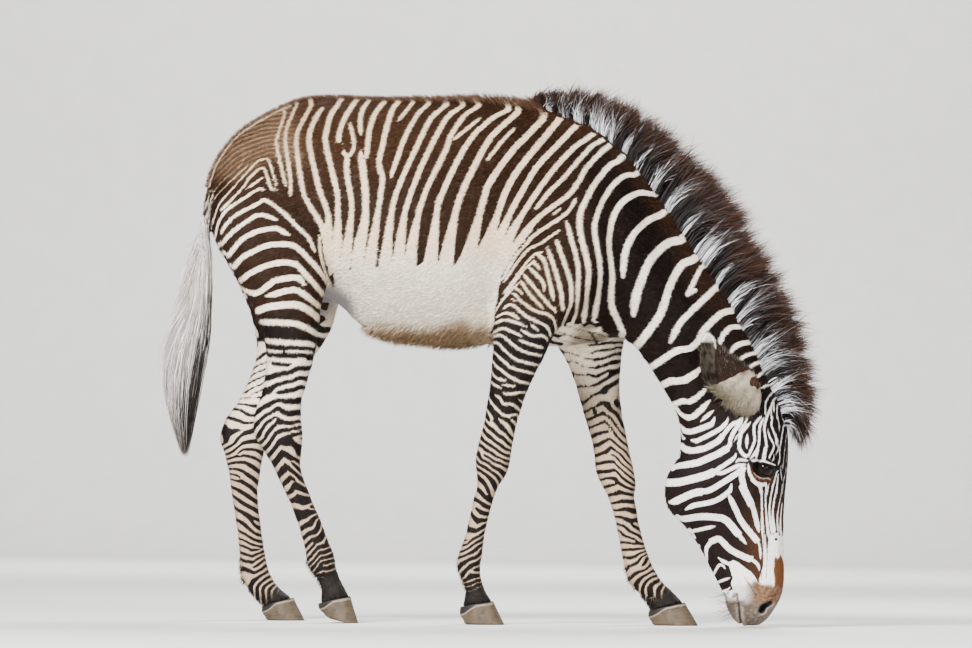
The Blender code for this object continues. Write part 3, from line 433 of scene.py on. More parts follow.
def width_along(share, fifth, half, four_fifths, roundness):
    """Half width of a section at a share of the way from its first edge to its second."""
    # A curve of the second degree through the three widths, under a rounded envelope.
    envelope = np.sin(math.pi * share) ** roundness
    at_fifth = fifth / math.sin(math.pi * 0.2) ** roundness
    at_four = four_fifths / math.sin(math.pi * 0.8) ** roundness
    a = (share - 0.5) * (share - 0.8) / 0.18 * at_fifth
    b = (share - 0.2) * (share - 0.8) / -0.09 * half
    c = (share - 0.2) * (share - 0.5) / 0.18 * at_four
    return envelope * np.clip(a + b + c, 0.25 * half, None)


def station_ring(row, sides, roundness=0.62):
    """Points round one section: (x1, z1, x2, z2, fifth, half, four fifths, middle across)."""
    x1, z1, x2, z2, fifth, half, four_fifths, middle = row
    angle = np.arange(sides) * 2 * math.pi / sides
    share = (1 - np.cos(angle)) / 2
    out = width_along(share, fifth, half, four_fifths, roundness) * np.sign(np.sin(angle))
    out[np.abs(np.sin(angle)) < 1e-9] = 0.0
    return columns(x1 + (x2 - x1) * share, middle + out, z1 + (z2 - z1) * share)


def full_rows(rows, side=0):
    """Station rows in metres, as eight numbers each."""
    full = []
    for *edges, half, middle in rows:
        if len(edges) == 4:
            full.append((*edges, half * LEG_ROUNDING, half, half * LEG_ROUNDING, side * middle))
        else:
            full.append((*edges, half, middle, 0.0))
    return np.array(full) * 0.001


def tube(rings, closed_ends=True):
    """Points and faces of a skin through rings of equal length."""
    sides, count = len(rings[0]), len(rings)
    k = np.arange(sides)
    faces = []
    for i in range(count - 1):
        a, b = i * sides + k, i * sides + (k + 1) % sides
        faces += columns(a, b, b + sides, a + sides).tolist()
    if closed_ends:
        faces += [k[::-1].tolist(), ((count - 1) * sides + k).tolist()]
    return np.concatenate(rings), faces


def add_object(name, mesh):
    found = bpy.data.objects.new(name, mesh)
    bpy.context.scene.collection.objects.link(found)
    return found


def mesh_of(name, points, faces):
    mesh = bpy.data.meshes.new(name)
    mesh.from_pydata(np.asarray(points, float).tolist(), [], faces)
    return mesh


def fast_mesh(name, points, corners, counts):
    """A mesh from flat arrays: corner indices, and how many corners each face has."""
    mesh = bpy.data.meshes.new(name)
    mesh.vertices.add(len(points))
    mesh.vertices.foreach_set("co", np.ascontiguousarray(points, np.float32).ravel())
    mesh.loops.add(len(corners))
    mesh.loops.foreach_set("vertex_index", np.ascontiguousarray(corners, np.int32))
    mesh.polygons.add(len(counts))
    starts = np.concatenate([[0], np.cumsum(counts)[:-1]]).astype(np.int32)
    mesh.polygons.foreach_set("loop_start", starts)
    mesh.update(calc_edges=True)
    return mesh


def read_threes(items, field):
    found = np.empty(len(items) * 3, np.float32)
    items.foreach_get(field, found)
    return found.reshape(-1, 3).astype(float)


def read_points(mesh):
    return read_threes(mesh.vertices, "co")


def read_normals(mesh):
    return read_threes(mesh.vertex_normals, "vector")


def move_points(mesh, points):
    mesh.vertices.foreach_set("co", np.ascontiguousarray(points, np.float32).ravel())
    mesh.update()


def put_number(mesh, name, values):
    layer = mesh.attributes.new(name, "FLOAT", "POINT")
    layer.data.foreach_set("value", np.ascontiguousarray(values, np.float32))


def put_colour(mesh, name, values):
    layer = mesh.color_attributes.new(name, "FLOAT_COLOR", "POINT")
    four = np.ones((len(values), 4), np.float32)
    four[:, :3] = np.clip(values, 0, 1)
    layer.data.foreach_set("color", four.ravel())


def tree_of(points):
    """A search tree that finds the nearest of the points."""
    tree = kdtree.KDTree(len(points))
    for i, place in enumerate(points.tolist()):
        tree.insert(place, i)
    tree.balance()
    return tree


def nearest_on(surface, places):
    """The surface's points nearest to the places, and its normals there."""
    hits = [surface.find_nearest(Vector(place)) for place in places.tolist()]
    return np.array([tuple(hit[0]) for hit in hits]), np.array([tuple(hit[1]) for hit in hits])


def settled(source, name):
    """A new mesh that holds source as its modifiers leave it; source is removed."""
    graph = bpy.context.evaluated_depsgraph_get()
    mesh = bpy.data.meshes.new_from_object(source.evaluated_get(graph))
    bpy.data.objects.remove(source)
    mesh.name = name
    return mesh


# ------------------------- The body's form --------------------------

# Where limbs run into the trunk the merged skin is softened: x, distance from the middle, z, reach.
SOFT_PLACES = [
    (-395, 150, 850, 130), (-400, 100, 760, 90), (-640, 60, 860, 100), (-670, 70, 990, 110),
    (-500, 30, 770, 110), (-10, 150, 760, 110), (20, 90, 680, 80), (200, 50, 670, 110),
    (250, 110, 800, 130), (270, 80, 1050, 120), (120, 110, 1080, 120), (-450, 130, 1080, 140),
    (560, 60, 520, 80), (450, 50, 450, 70), (-690, 0, 1010, 45),
]
# Muscle, bone and folds, raised or sunk along the skin: height, reach, then x, z of their line.
FORMS = [
    (5, 45, -385, 1135), (-9, 60, -400, 1010, -385, 930), (3.5, 30, -425, 1050, -418, 930, -405, 850),
    (-3.6, 18, -625, 1020, -637, 930, -605, 830, -565, 745), (3.5, 35, -665, 985),
    (5, 45, -405, 790), (3, 45, -505, 680), (3, 18, -385, 835, -365, 780),
    (-2.2, 14, -360, 850, -345, 790), (3.5, 28, 170, 1100, 215, 980, 250, 860),
    (-4, 34, 30, 1070, 0, 950, -20, 840), (5, 70, 90, 860), (-2.6, 16, -10, 752, 60, 735, 130, 742),
    (5, 42, 262, 835), (-4.2, 26, 238, 1060, 250, 950, 275, 860),
    (-3.4, 16, 425, 560, 372, 650, 318, 740), (-2.4, 22, 520, 690, 430, 800, 330, 910),
    (2.5, 30, 560, 640, 480, 740), (-3.2, 8, 140, 682, 200, 668, 270, 684),
    (-3, 7, 150, 702, 220, 694, 285, 708), (2.6, 9, 150, 692, 210, 680, 280, 694),
    (-2.4, 6, 170, 722, 230, 712, 290, 724), (4, 28, -12, 715),
    (1.4, 16, -50, 1060, -80, 940, -130, 780), (1.4, 16, -105, 1060, -135, 940, -185, 780),
    (1.4, 16, -160, 1060, -190, 940, -240, 790), (1.3, 16, -215, 1050, -245, 940, -285, 820),
    (1.2, 16, -270, 1040, -295, 940, -320, 850),
    # Head: cheek plate and its edges, face crest, hollows, nose bone, brow, cheekbone, lips, chin.
    (3.2, 45, 465, 385, 455, 345), (-3, 12, 440, 470, 420, 420, 408, 380),
    (2.6, 9, 602, 338, 592, 295, 577, 248), (-2.6, 20, 553, 270, 560, 215),
    (-2.4, 16, 630, 300, 636, 200), (1.6, 8, 656, 330, 653, 250, 656, 160), (-3.5, 17, 622, 437),
    (2.8, 8, 594, 404, 615, 409, 640, 401, 656, 388), (2.4, 10, 580, 404, 560, 424, 545, 445),
    (2.2, 20, 603, 38), (2, 13, 549, 46), (-2.2, 8, 530, 98, 540, 70),
    (0.9, 4, 590, 180, 562, 240, 548, 300, 540, 330), (0.8, 4, 600, 140, 585, 200),
    (-1, 4, 559, 118, 551, 133), (-0.9, 3, 600, 28, 596, 52), (-0.9, 3, 588, 22, 583, 46),
]
MOUTH = xz(562, 79, 563.5, 73.6, 566, 56.5, 568, 39, 570, 22, 574, 9.5, 578, -10)
NOSTRIL = xz(621, 40, 624.5, 48.5, 631.5, 55, 641, 60)
# Along a leg: height, reach, share of the way from front to back, z from and to; the left legs'
# forms lie lower by LEFT_LOWER.
LEG_FORMS = {
    "fore": [(-2.6, 5.5, 0.6, 300, 190), (2.2, 11, 0.86, 160, 146), (-1.8, 9, 0.5, 105, 95),
             (2.2, 16, 0.14, 385, 350), (3.0, 12, 0.95, 385, 372), (-2.6, 10, 0.48, 620, 470),
             (2.2, 20, 0.22, 640, 560), (-1.6, 8, 0.55, 345, 325)],
    "hind": [(-2.8, 6, 0.58, 330, 190), (2.2, 11, 0.86, 150, 134), (-1.8, 9, 0.5, 100, 85),
             (3.0, 12, 0.95, 505, 480), (-6.0, 11, 0.7, 625, 500), (2.2, 14, 0.42, 450, 425),
             (1.8, 10, 0.12, 445, 425), (-2.0, 10, 0.4, 640, 540)],
}
LEFT_LOWER = 7


def leg_table(name):
    """Columns z, front x, back x, half width, middle across, sorted by z."""
    rows, side = LEG_ROWS[name]
    full = smooth_rows(full_rows(rows, side), 4)
    z = (full[:, 1] + full[:, 3]) / 2
    order = np.argsort(z)
    return columns(z, full[:, 0], full[:, 2], full[:, 5], full[:, 7])[order]


LEG_TABLES = {name: leg_table(name) for name in LEG_ROWS}


def leg_place(name, points):
    """(share from front to back, distance out from the leg's middle, half width, middle x)."""
    z, front, back, half, middle = LEG_TABLES[name].T
    x1, x2 = np.interp(points[:, 2], z, front), np.interp(points[:, 2], z, back)
    side = LEG_ROWS[name][1]
    out = side * (points[:, 1] - np.interp(points[:, 2], z, middle))
    return (points[:, 0] - x1) / (x2 - x1), out, np.interp(points[:, 2], z, half), (x1 + x2) / 2


def leg_weight(name, points):
    """1 on this leg below the body, 0 elsewhere."""
    share, out, half, _ = leg_place(name, points)
    side = LEG_ROWS[name][1]
    near = ramp(-0.45, -0.2, share) * ramp(1.45, 1.2, share) * ramp(2.6, 1.9, np.abs(out) / half)
    top = ramp(0.745, 0.675, points[:, 2] + 0.02 * ripple(points, 0.05, 3))
    return near * top * (side * points[:, 1] > 0)


def legs_weight(points):
    """1 on every leg below the body, 0 elsewhere."""
    return np.max([leg_weight(name, points) for name in LEG_ROWS], axis=0)


def head_weight(points):
    """1 on the head, 0 on the neck, over a soft edge at the throat."""
    along = (points[:, 0] - 0.53) * 0.48 - (points[:, 2] - 0.535) * 0.88
    return ramp(-0.02, 0.03, along) * ramp(0.34, 0.37, points[:, 0] - 0.25 * (0.45 - points[:, 2]))


def body_mesh():
    """The merged form of trunk, neck, head, legs and dock."""
    parts = [(TRUNK, 0, 56), (NECK, 0, 56), (HEAD, 0, 56), (TAIL_DOCK, 0, 32)]
    parts += [(rows, side, 40) for rows, side in LEG_ROWS.values()]
    points, faces, start = [], [], 0
    for rows, side, sides in parts:
        rings = [station_ring(row, sides) for row in smooth_rows(full_rows(rows, side), 6)]
        own, own_faces = tube(rings)
        points.append(own)
        faces += [[i + start for i in face] for face in own_faces]
        start += len(own)
    form = add_object("body_form", mesh_of("body_form", np.concatenate(points), faces))
    work = bmesh.new()
    work.from_mesh(form.data)
    bmesh.ops.recalc_face_normals(work, faces=work.faces)
    work.to_mesh(form.data)
    work.free()
    merge = form.modifiers.new("merge", "REMESH")
    merge.mode = "VOXEL"
    merge.voxel_size = SKIN_CELL
    even = form.modifiers.new("even", "SMOOTH")
    even.factor = 0.5
    even.iterations = 4
    form = add_object("body_form", settled(form, "body_form"))
    where = read_points(form.data)
    weight = np.zeros(len(where))
    for x, out, z, reach in np.array(SOFT_PLACES) * 0.001:
        for side in (RIGHT, LEFT):
            far = np.linalg.norm(where - (x, side * out, z), axis=1) / reach
            weight = np.maximum(weight, np.clip(1.3 - far, 0, 1))
    group = form.vertex_groups.new(name="soft")
    steps = 12
    levels = np.round(weight * steps).astype(int)
    for level in range(1, levels.max() + 1):
        group.add(np.nonzero(levels == level)[0].tolist(), level / steps, "REPLACE")
    relax = form.modifiers.new("soften", "SMOOTH")
    relax.factor = 0.5
    relax.iterations = 70
    relax.vertex_group = "soft"
    return settled(form, "skin")


def finer(mesh, chosen):
    """Cuts the faces for which chosen(middle points) is true into four."""
    work = bmesh.new()
    work.from_mesh(mesh)
    middles = np.array([face.calc_center_median() for face in work.faces])
    keep = chosen(middles)
    edges = {edge for face, wanted in zip(work.faces, keep) if wanted for edge in face.edges}
    bmesh.ops.subdivide_edges(work, edges=list(edges), cuts=1, use_grid_fill=True, smooth=0.0)
    work.to_mesh(mesh)
    work.free()


def thin_marks(points):
    """Where the stripes are thin: head, lower legs, shoulder and croup."""
    x, z = points[:, 0], points[:, 2]
    head = (head_weight(points) > 0.5) & (z < 0.56)
    shoulder = (x > -0.05) & (x < 0.12) & (z < 0.85) & (points[:, 1] < 0)
    croup = (x < -0.54) & (z > 0.94) & (x > -0.7)
    return head | (z < 0.44) | shoulder | croup


def near_eye(points, reach):
    return np.hypot(points[:, 0] - EYE_CENTRE[0], points[:, 2] - EYE_CENTRE[1]) < reach


def fine_features(points):
    """Where the face needs its smallest cells: round the eyes, nostrils and mouth."""
    x, out, z = side_view(points)
    return ((near_eye(points, 0.036) & (out > 0.05))
            | ((line_distance(x, z, NOSTRIL) < 0.018) & (out > 0.012))
            | ((line_distance(x, z, MOUTH) < 0.008) & (z < 0.105)))


def lid_height(points):
    """Signed place in the almond of the lids: below 1 is open, 1 is the edge of the lids."""
    x, z = points[:, 0] - EYE_CENTRE[0], points[:, 2] - EYE_CENTRE[1]
    x, z = x + 0.18 * z, z + 0.003 + 0.12 * x
    tall = np.where(z > 0, 0.0118, 0.0142)
    return np.sqrt((x / 0.0196) ** 2 + (z / tall) ** 2)


def nostril_width(z):
    return 0.0036 + 0.0044 * ramp(0.062, 0.048, z)


def shape_eyes(points):
    """Opens the lids over the eyeball and raises their rims."""
    for side in (RIGHT, LEFT):
        near = near_eye(points, 0.034) & (side * points[:, 1] > 0.02)
        where = points[near]
        x, z = where[:, 0] - EYE_CENTRE[0], where[:, 2] - EYE_CENTRE[1]
        flat = np.hypot(x, z)
        open_at = lid_height(where)
        radius = np.interp(open_at, [0.0, 0.86, 1.0, 1.16, 1.45, 2.2],
                           [EYE_RADIUS - 0.005, EYE_RADIUS - 0.005, EYE_RADIUS + 0.0012,
                            EYE_RADIUS + 0.003, EYE_RADIUS + 0.0026, EYE_RADIUS + 0.0014])
        fold = 0.0014 * bell(open_at - 1.62, 0.1) * (z > -0.004)
        ball = EYE_OUT + np.sqrt(np.maximum(radius ** 2 - flat ** 2, 0.004 ** 2)) - fold
        share = ramp(2.15, 1.35, open_at) * ramp(0.03, 0.021, flat)
        out = side * where[:, 1]
        points[near, 1] = side * blend(out, ball, share)


def shape_nose(points, normals):
    """Sinks the nostrils under a raised wing, and the line of the mouth between full lips."""
    push = np.zeros(len(points))
    x, out, z = side_view(points)
    facing = np.clip(np.abs(normals[:, 1]) * 1.7, 0, 1)
    slit = line_distance(x, z, NOSTRIL)
    inside = bell(slit, nostril_width(z)) * facing
    push -= (0.006 + 0.007 * ramp(0.06, 0.048, z)) * inside
    push += 0.0024 * bell(slit - 0.0095, 0.0036) * facing * (1 - inside)
    groove = line_distance(x, z, MOUTH)
    below = ramp(0.086, 0.076, z)
    push -= 0.0036 * bell(groove, 0.0022) * below
    push += 0.0014 * bell(groove - 0.0075, 0.005) * below
    push -= 0.0022 * bell(out, 0.004) * ramp(0.1, 0.05, z) * (x > 0.6)
    points += normals * push[:, None]


def form_heights(points, normals):
    """How far muscle, bone and folds raise or sink each point of the skin."""
    x, z = points[:, 0], points[:, 2]
    side_on = np.clip(np.abs(normals[:, 1]) * 1.5, 0, 1)
    push = np.zeros(len(points))
    legs = {name: leg_weight(name, points) for name in LEG_ROWS}
    above = 1 - np.max(list(legs.values()), axis=0)
    for height, reach, *line in FORMS:
        push += height * 0.001 * bell(line_distance(x, z, xz(*line)), reach * 0.001) * side_on * above
    for name in LEG_ROWS:
        level, front, back, _, _ = LEG_TABLES[name].T
        for height, reach, share, *ends in LEG_FORMS[name[:4]]:
            levels = np.linspace(*ends, 4) * 0.001 - LEFT_LOWER * 0.001 * ("left" in name)
            xs = blend(np.interp(levels, level, front), np.interp(levels, level, back), share)
            far = line_distance(x, z, columns(xs, levels))
            edge = np.maximum(side_on, 0.85 * (share < 0.2 or share > 0.8))
            push += height * 0.001 * bell(far, reach * 0.001) * edge * legs[name]
    return push


def skin_mesh():
    """The skin, which lies inside the outline by the depth of the hair, with all its forms."""
    mesh = body_mesh()
    points, normals = read_points(mesh), read_normals(mesh)
    face = np.maximum(legs_weight(points), head_weight(points))
    move_points(mesh, points - normals * blend(COAT_DEPTH, FACE_DEPTH, face)[:, None])
    finer(mesh, thin_marks)
    finer(mesh, fine_features)
    mesh.update()
    points, normals = read_points(mesh), read_normals(mesh)
    rough = ripple(points, 0.03, 5) * 0.0007 * (1 - head_weight(points))
    rough = rough + ripple(points, 0.012, 6) * 0.00022
    points += normals * (form_heights(points, normals) + rough)[:, None]
    shape_eyes(points)
    move_points(mesh, points)
    shape_nose(points, read_normals(mesh))
    move_points(mesh, points)
    return mesh


# ------------------------------- Ears -------------------------------

# Level sections of an ear in millimetres: z, middle x, half width along x and across, distance of
# the middle from the body's middle plane, then where the front and the back rim lie round it, in
# degrees from straight ahead by way of the outside. Below the notch the ear is closed.
EAR = [
    (490, 583, 12, 12, 46, 146, 146), (500, 580, 22, 20, 50, 146, 146), (520, 574, 36, 29, 60, 146, 146),
    (540, 563, 49, 34, 71, 146, 146), (556, 551, 58, 37, 81, 144, 147), (566, 546, 62, 38, 87, 134, 168),
    (580, 538, 64, 37, 94, 120, 182), (600, 530, 61, 35, 102, 118, 187),
    (620, 515, 51, 32, 109, 108, 190), (640, 498, 34.5, 27, 114, 86, 193),
    (660, 488.5, 22.5, 20, 118, 58, 197), (676, 484.5, 13, 12, 121, 40, 200),
    (684, 483, 7, 6, 122, 30, 200), (688, 482.5, 2, 2, 123, 30, 200),
]


def ear_mesh(side):
    """The leaf with thickness, as points, faces, ways to the front and back rim, and 1 inside."""
    rows, spokes = 48, 52
    table = smooth_rows(EAR, 8) * ([0.001] * 5 + [1, 1])
    level = np.interp(np.linspace(0, 1, rows), np.linspace(0, 1, len(table)), np.arange(len(table)))
    z, middle, half, across, out, front, back = (
        np.repeat(np.interp(level, np.arange(len(table)), table[:, k]), spokes + 1) for k in range(7))
    round_it = np.tile(np.linspace(0, 1, spokes + 1), rows)
    angle = np.radians(back - 360 + round_it * (front - back + 360))
    sheets = []
    for pull in (0.0006, 0.0042):
        slim = pull * (1 - 0.55 * ramp(0.06, 0.0, np.minimum(round_it, 1 - round_it)))
        wide = np.maximum(half - slim, 0.0005) * (1 + 0.012 * np.sin(3 * angle + 60 * z))
        deep = np.maximum(across - slim, 0.0005)
        sheets.append(columns(middle + wide * np.cos(angle), side * (out + deep * np.sin(angle)),
                              z - 0.6 * pull * (z > 0.67)))
    count, faces = len(z), []
    for i in range(rows - 1):
        for k in range(spokes):
            a = i * (spokes + 1) + k
            b, c, d = a + 1, a + spokes + 2, a + spokes + 1
            faces += [(a, b, c, d), (d + count, c + count, b + count, a + count)]
        for a in (i * (spokes + 1), i * (spokes + 1) + spokes):
            d = a + spokes + 1
            faces.append((a, d, d + count, a + count))
    top = (rows - 1) * (spokes + 1)
    for k in range(spokes):
        faces.append((top + k, top + k + 1, top + k + 1 + count, top + k + count))
    arc = (half + across) / 2 * np.radians(front - back + 360)
    to_front = np.where(back - front > 8, (1 - round_it) * arc, 1.0)
    inside = np.concatenate([np.zeros(count), np.ones(count)])
    return np.concatenate(sheets), faces, np.tile(to_front, 2), inside


def ear_colours(points, to_front, inside):
    """Mark, dark and light of an ear: pale wool, a dark band on the back, a white rim and tip."""
    x, z = points[:, 0], points[:, 2]
    grain, fine = ripple(points, 0.014, 51), ripple(points, 0.005, 52)
    band = np.minimum(z - 0.571 - 0.52 * np.clip(x - 0.511, -0.02, 0.056), 0.668 - z)
    patch = 0.015 - np.hypot(x - 0.597, z - 0.576)
    dark_here = np.maximum(band, patch) + 0.003 * grain + 0.001 * fine
    rim = np.minimum(0.003 - to_front + 0.0016 * fine, z - 0.65)
    white = np.maximum(rim, z - 0.668 + 0.001 * grain)
    mark = np.maximum(np.where(inside > 0.5, 0.004, -dark_here), white)
    olive = ramp(0.04, -0.004, (z - 0.556) + 0.72 * (x - 0.505) + 0.006 * grain)
    brown = np.maximum(0.8 * ramp(-0.1, 0.9, grain + 0.6 * fine), bell(to_front, 0.007))
    light = layers(
        EAR_WOOL, (EAR_OLIVE, 0.75 * olive), (EAR_OLIVE, 0.55 * ramp(-0.3, 0.9, grain + 0.4 * fine)),
        (EAR_TAN, bell(np.hypot(x - 0.566, z - 0.6), 0.012)), (EAR_INSIDE, inside),
        (EAR_BROWN, inside * brown),
        (EAR_TIP_WHITE, ramp(-0.001, 0.003, white)))
    dark = layers(EAR_BROWN, (EAR_TAN, 0.45 * ramp(0.004, -0.004, -patch)))
    return mark, dark, light


EAR_WOOL, EAR_TIP_WHITE, EAR_OLIVE = (0.46, 0.41, 0.34), (0.86, 0.83, 0.77), (0.17, 0.145, 0.09)
EAR_INSIDE, EAR_BROWN, EAR_TAN = (0.115, 0.1, 0.08), (0.024, 0.012, 0.007), (0.12, 0.062, 0.03)


# ----------------------------- Markings -----------------------------

# Bands round the legs: z, drop of the band per metre forward, bend at the middle, height of one
# dark and white pair in millimetres, white share outside and inside.
LEG_BANDS = {
    "fore_right": [
        (.76, .45, .2, 20, .38, .9), (.66, .55, .3, 22, .36, .92), (.58, .62, .28, 21, .36, .85),
        (.5, .7, .3, 19, .4, .65), (.45, .8, 0, 17, .4, .55), (.4, .65, 0, 15, .38, .5),
        (.36, .55, 0, 15, .33, .48), (.32, .8, 0, 24, .42, .48), (.28, 1.0, 0, 26, .42, .48),
        (.235, -.05, .6, 22, .42, .48), (.2, -.6, .1, 15, .4, .44), (.15, -.35, 0, 15, .36, .4),
        (.11, -.5, -.4, 14, .28, .3), (.085, -.4, 0, 13, .1, .1), (.05, 0, 0, 13, 0, 0)],
    "fore_left": [
        (.76, .45, 0, 18, .42, .97), (.66, 0, .2, 20, .42, .97), (.62, -.1, .3, 20, .42, .86),
        (.56, -.3, .15, 21, .42, .8), (.52, 0, -.5, 22, .42, .72), (.47, .45, -.8, 24, .42, .64),
        (.42, .4, -.8, 22, .42, .6), (.38, .5, -.7, 21, .42, .55), (.34, .35, -.5, 20, .42, .5),
        (.3, 0, -.2, 22, .44, .5), (.26, .15, 0, 20, .44, .5), (.22, .6, 0, 20, .46, .52),
        (.19, .1, 0, 16, .46, .52), (.16, -.5, .3, 14, .46, .5), (.13, -.45, 0, 14, .46, .5),
        (.1, -.6, 0, 14, .36, .36), (.07, -.9, 0, 13, .22, .22), (.05, 0, 0, 13, .1, .1)],
    "hind_right": [
        (.7, .2, -.2, 36, .45, .9), (.66, .15, .1, 30, .42, .85), (.62, .2, .3, 26, .42, .66),
        (.58, -.25, 0, 27, .42, .6), (.54, -.3, 0, 26, .42, .58), (.51, -.3, -.25, 22, .42, .54),
        (.47, -.35, -.4, 20, .42, .54), (.43, -.8, -.3, 24, .38, .52), (.39, 0, -.8, 26, .34, .5),
        (.35, 0, -.8, 26, .32, .48), (.31, -.2, -.6, 28, .35, .48), (.27, 0, .1, 26, .32, .44),
        (.24, -.8, .3, 22, .32, .42), (.21, -.7, .1, 16, .3, .4), (.18, -.55, -.3, 14, .3, .38),
        (.15, -.55, -.3, 14, .28, .34), (.12, -.5, -.3, 13, .15, .2), (.1, 0, 0, 13, 0, 0)],
    "hind_left": [
        (.76, .2, .1, 22, .5, .6), (.66, .1, -.3, 26, .46, .76), (.62, .1, -.7, 22, .46, .62),
        (.54, .1, -.7, 24, .46, .62), (.5, .15, 0, 22, .46, .6), (.46, -.15, .25, 20, .46, .55),
        (.42, -.4, -.4, 18, .46, .5), (.39, -.1, -.4, 18, .46, .5), (.36, .15, -.2, 22, .46, .5),
        (.33, .5, 0, 20, .46, .5), (.29, .8, 0, 24, .46, .5), (.25, .75, 0, 26, .46, .5),
        (.21, .65, 0, 24, .46, .5), (.18, .35, .2, 16, .45, .46), (.15, -.1, .5, 15, .45, .45),
        (.13, -.1, .45, 14, .45, .45), (.11, -.2, .3, 14, .4, .42), (.09, -.6, 0, 13, .34, .38),
        (.06, -1.0, 0, 13, .2, .3)],
}
# Where the bands take over from the stripes of the shoulder and haunch: z outside and inside.
BANDS_FROM = {"fore": (0.482, 0.69), "hind": (0.605, 0.76)}
# The feet are grey below this height, at the front more than behind.
FOOT_TOP = {"fore_right": 0.082, "fore_left": 0.07, "hind_right": 0.108, "hind_left": 0.06}
# The white of the belly: its upper edge, then its rear and front edge as x at z.
BELLY_TOP = 0.836
BELLY_REAR = xz(700, -425, 760, -405, 800, -392, 860, -400)
BELLY_FRONT = xz(680, -20, 720, -18, 760, -10, 800, -5, 860, 5)
# The pale wrinkled skin of the brisket and the white snout: upper edges as z at x. The rear edges
# of the snout and of the white on the nose, as x at z.
BRISKET_TOP = xz(118, 650, 125, 690, 140, 700, 170, 712, 220, 710, 235, 696, 250, 684, 275, 668,
                 315, 654, 330, 640)
SNOUT_TOP = xz(541, 152, 552, 157, 565, 150, 580, 142, 594, 131, 603, 118, 610, 107, 616, 98, 632, 98)
SNOUT_REAR = xz(0, 528, 80, 532, 88, 551, 130, 549, 139, 543, 152, 541)
NOSE_REAR = xz(90, 610, 130, 617, 150, 626, 200, 634, 230, 640)
# The black skin round the eye, upper and lower edge as z at x; the pale rim of the lower lid. It
# lies on the face's sides only, further than FACE_SIDE from the middle.
FACE_SIDE = 0.04
LID_TOP = xz(594.5, 376, 598, 386, 610, 387, 630, 383, 648, 378, 660, 373)
LID_FOOT = xz(594.5, 372, 597, 364, 605, 355, 618, 352.5, 633, 353.5, 645, 360, 652, 368, 660, 372.5)
LID_RIM = xz(597, 362, 602, 357, 610, 352, 620, 350.5, 630, 351, 636, 348)
# The rust patch on the nose: upper edge as z at x, then its rear and front edge as x at z.
RUST_TOP = xz(647.5, 156, 652, 171, 657, 162, 664, 173, 670, 162, 675, 142)
RUST_REAR = xz(60, 662, 98, 648, 113, 650, 135, 647.5, 160, 648)
RUST_FRONT = xz(60, 668, 94, 672, 109, 675, 131, 675, 154, 674)
REAR_BAND = 0.026           # height of one dark and white pair between the buttocks
RUMP_LINES = 0.0108         # from one fine pale line of the tan rump to the next


def edge_at(places, rows):
    """The edge's second number where its first is places."""
    return np.interp(places, *rows.T)


def stripe_lines():
    """Every white stripe as its group, its half width and its middle line in side view."""
    lines = []
    for group in STROKES:
        for half, *flat in STROKES[group] if group != "dark" else ():
            guide = xz(*flat)
            if group == "trunk" and guide[-1, 1] < 0.9:
                guide = np.vstack([guide, guide[-1] + 0.035 * unit(guide[-1] - guide[-2])])
            if group == "trunk" and guide[0, 0] > 0.04 and guide[0, 1] < 1.175:
                guide = np.vstack([guide[0] + 0.06 * unit(guide[0] - guide[1]), guide])
            lines.append((group, half * 0.001, even_line(guide, STRIPE_STEP)))
    return lines


def cast_on_skin(tree, flat_line):
    """A stripe's places on the near side, as seen from EYE_POINT, and how far each faces sideways."""
    start = Vector(EYE_POINT)
    hits, facing = [], []
    for x, z in flat_line:
        hit, normal, _, _ = tree.ray_cast(start, (Vector((x, 0.0, z)) - start).normalized())
        if hit is not None and hit.y < 0.03:
            hits.append(tuple(hit))
            facing.append(abs(normal.y))
    return np.array(hits), facing


def on_to_middle(tree, last, reach):
    """Places from the end of a stripe straight across the body, for reach or up to the middle."""
    found = []
    for step in np.arange(STRIPE_STEP, reach + STRIPE_STEP, STRIPE_STEP):
        across = math.copysign(max(abs(last[1]) - step, 0.0), last[1])
        found.append(tuple(tree.find_nearest(Vector((last[0], across, last[2])))[0]))
    return found


def stroke_places(tree):
    """Places along the white stripes on both sides, with the half width at each."""
    lines = stripe_lines()
    every = np.concatenate([line for _, _, line in lines])
    owner = np.repeat(np.arange(len(lines)), [len(line) for _, _, line in lines])
    places, halves = [], []
    for own, (group, half, flat_line) in enumerate(lines):
        line, facing = cast_on_skin(tree, flat_line)
        if len(line) < 3:
            continue
        others = every[owner != own]
        run = run_along(line)
        size = np.full(len(line), half)
        # The stripes of the barrel widen into the belly, and those of the nose into the snout.
        if group == "trunk":
            size = size * (1 + 1.5 * np.clip((0.955 - line[:, 2]) / 0.11, 0, 1.2))
        if group == "nose":
            size = size * (1 + 0.7 * ramp(0.285, 0.225, line[:, 2]))
        # A stripe that leaves the side of the body goes on to the middle, one that runs into
        # another keeps its width, and the rest end in a point.
        for end, distance in ((0, run), (-1, run[-1] - run)):
            over = facing[end] < 0.55 and abs(line[end, 1]) < 0.12 and group != "nose"
            top = abs(line[end, 1]) < 0.055 and facing[end] < 0.86 and group in ("neck", "trunk")
            if over or top:
                last = line[end]
                reach = min(abs(last[1]), 0.01 if last[2] < 0.72 and group != "neck" else 1.0)
                beyond = on_to_middle(tree, last, reach)
                places += beyond
                halves += [float(size[end])] * len(beyond)
            elif np.hypot(*(others - flat_line[end]).T).min() > 0.0035:
                size = size * np.clip(0.16 + 0.84 * distance / (0.004 + 2.4 * half), 0, 1) ** 0.7
        places += line.tolist()
        halves += size.tolist()
    places, halves = np.array(places), np.array(halves)
    # The far side has the same stripes, shifted a little.
    other = places * (1, -1, 1)
    drift = 0.008 * ramp(0.02, 0.07, np.abs(other[:, 1])) * (1 - 0.75 * head_weight(other))
    other[:, 0] += drift * ripple(other, 0.1, 11)
    other[:, 2] += drift * ripple(other, 0.1, 12)
    other, _ = nearest_on(tree, other)
    return np.concatenate([places, other]), np.concatenate([halves, halves])


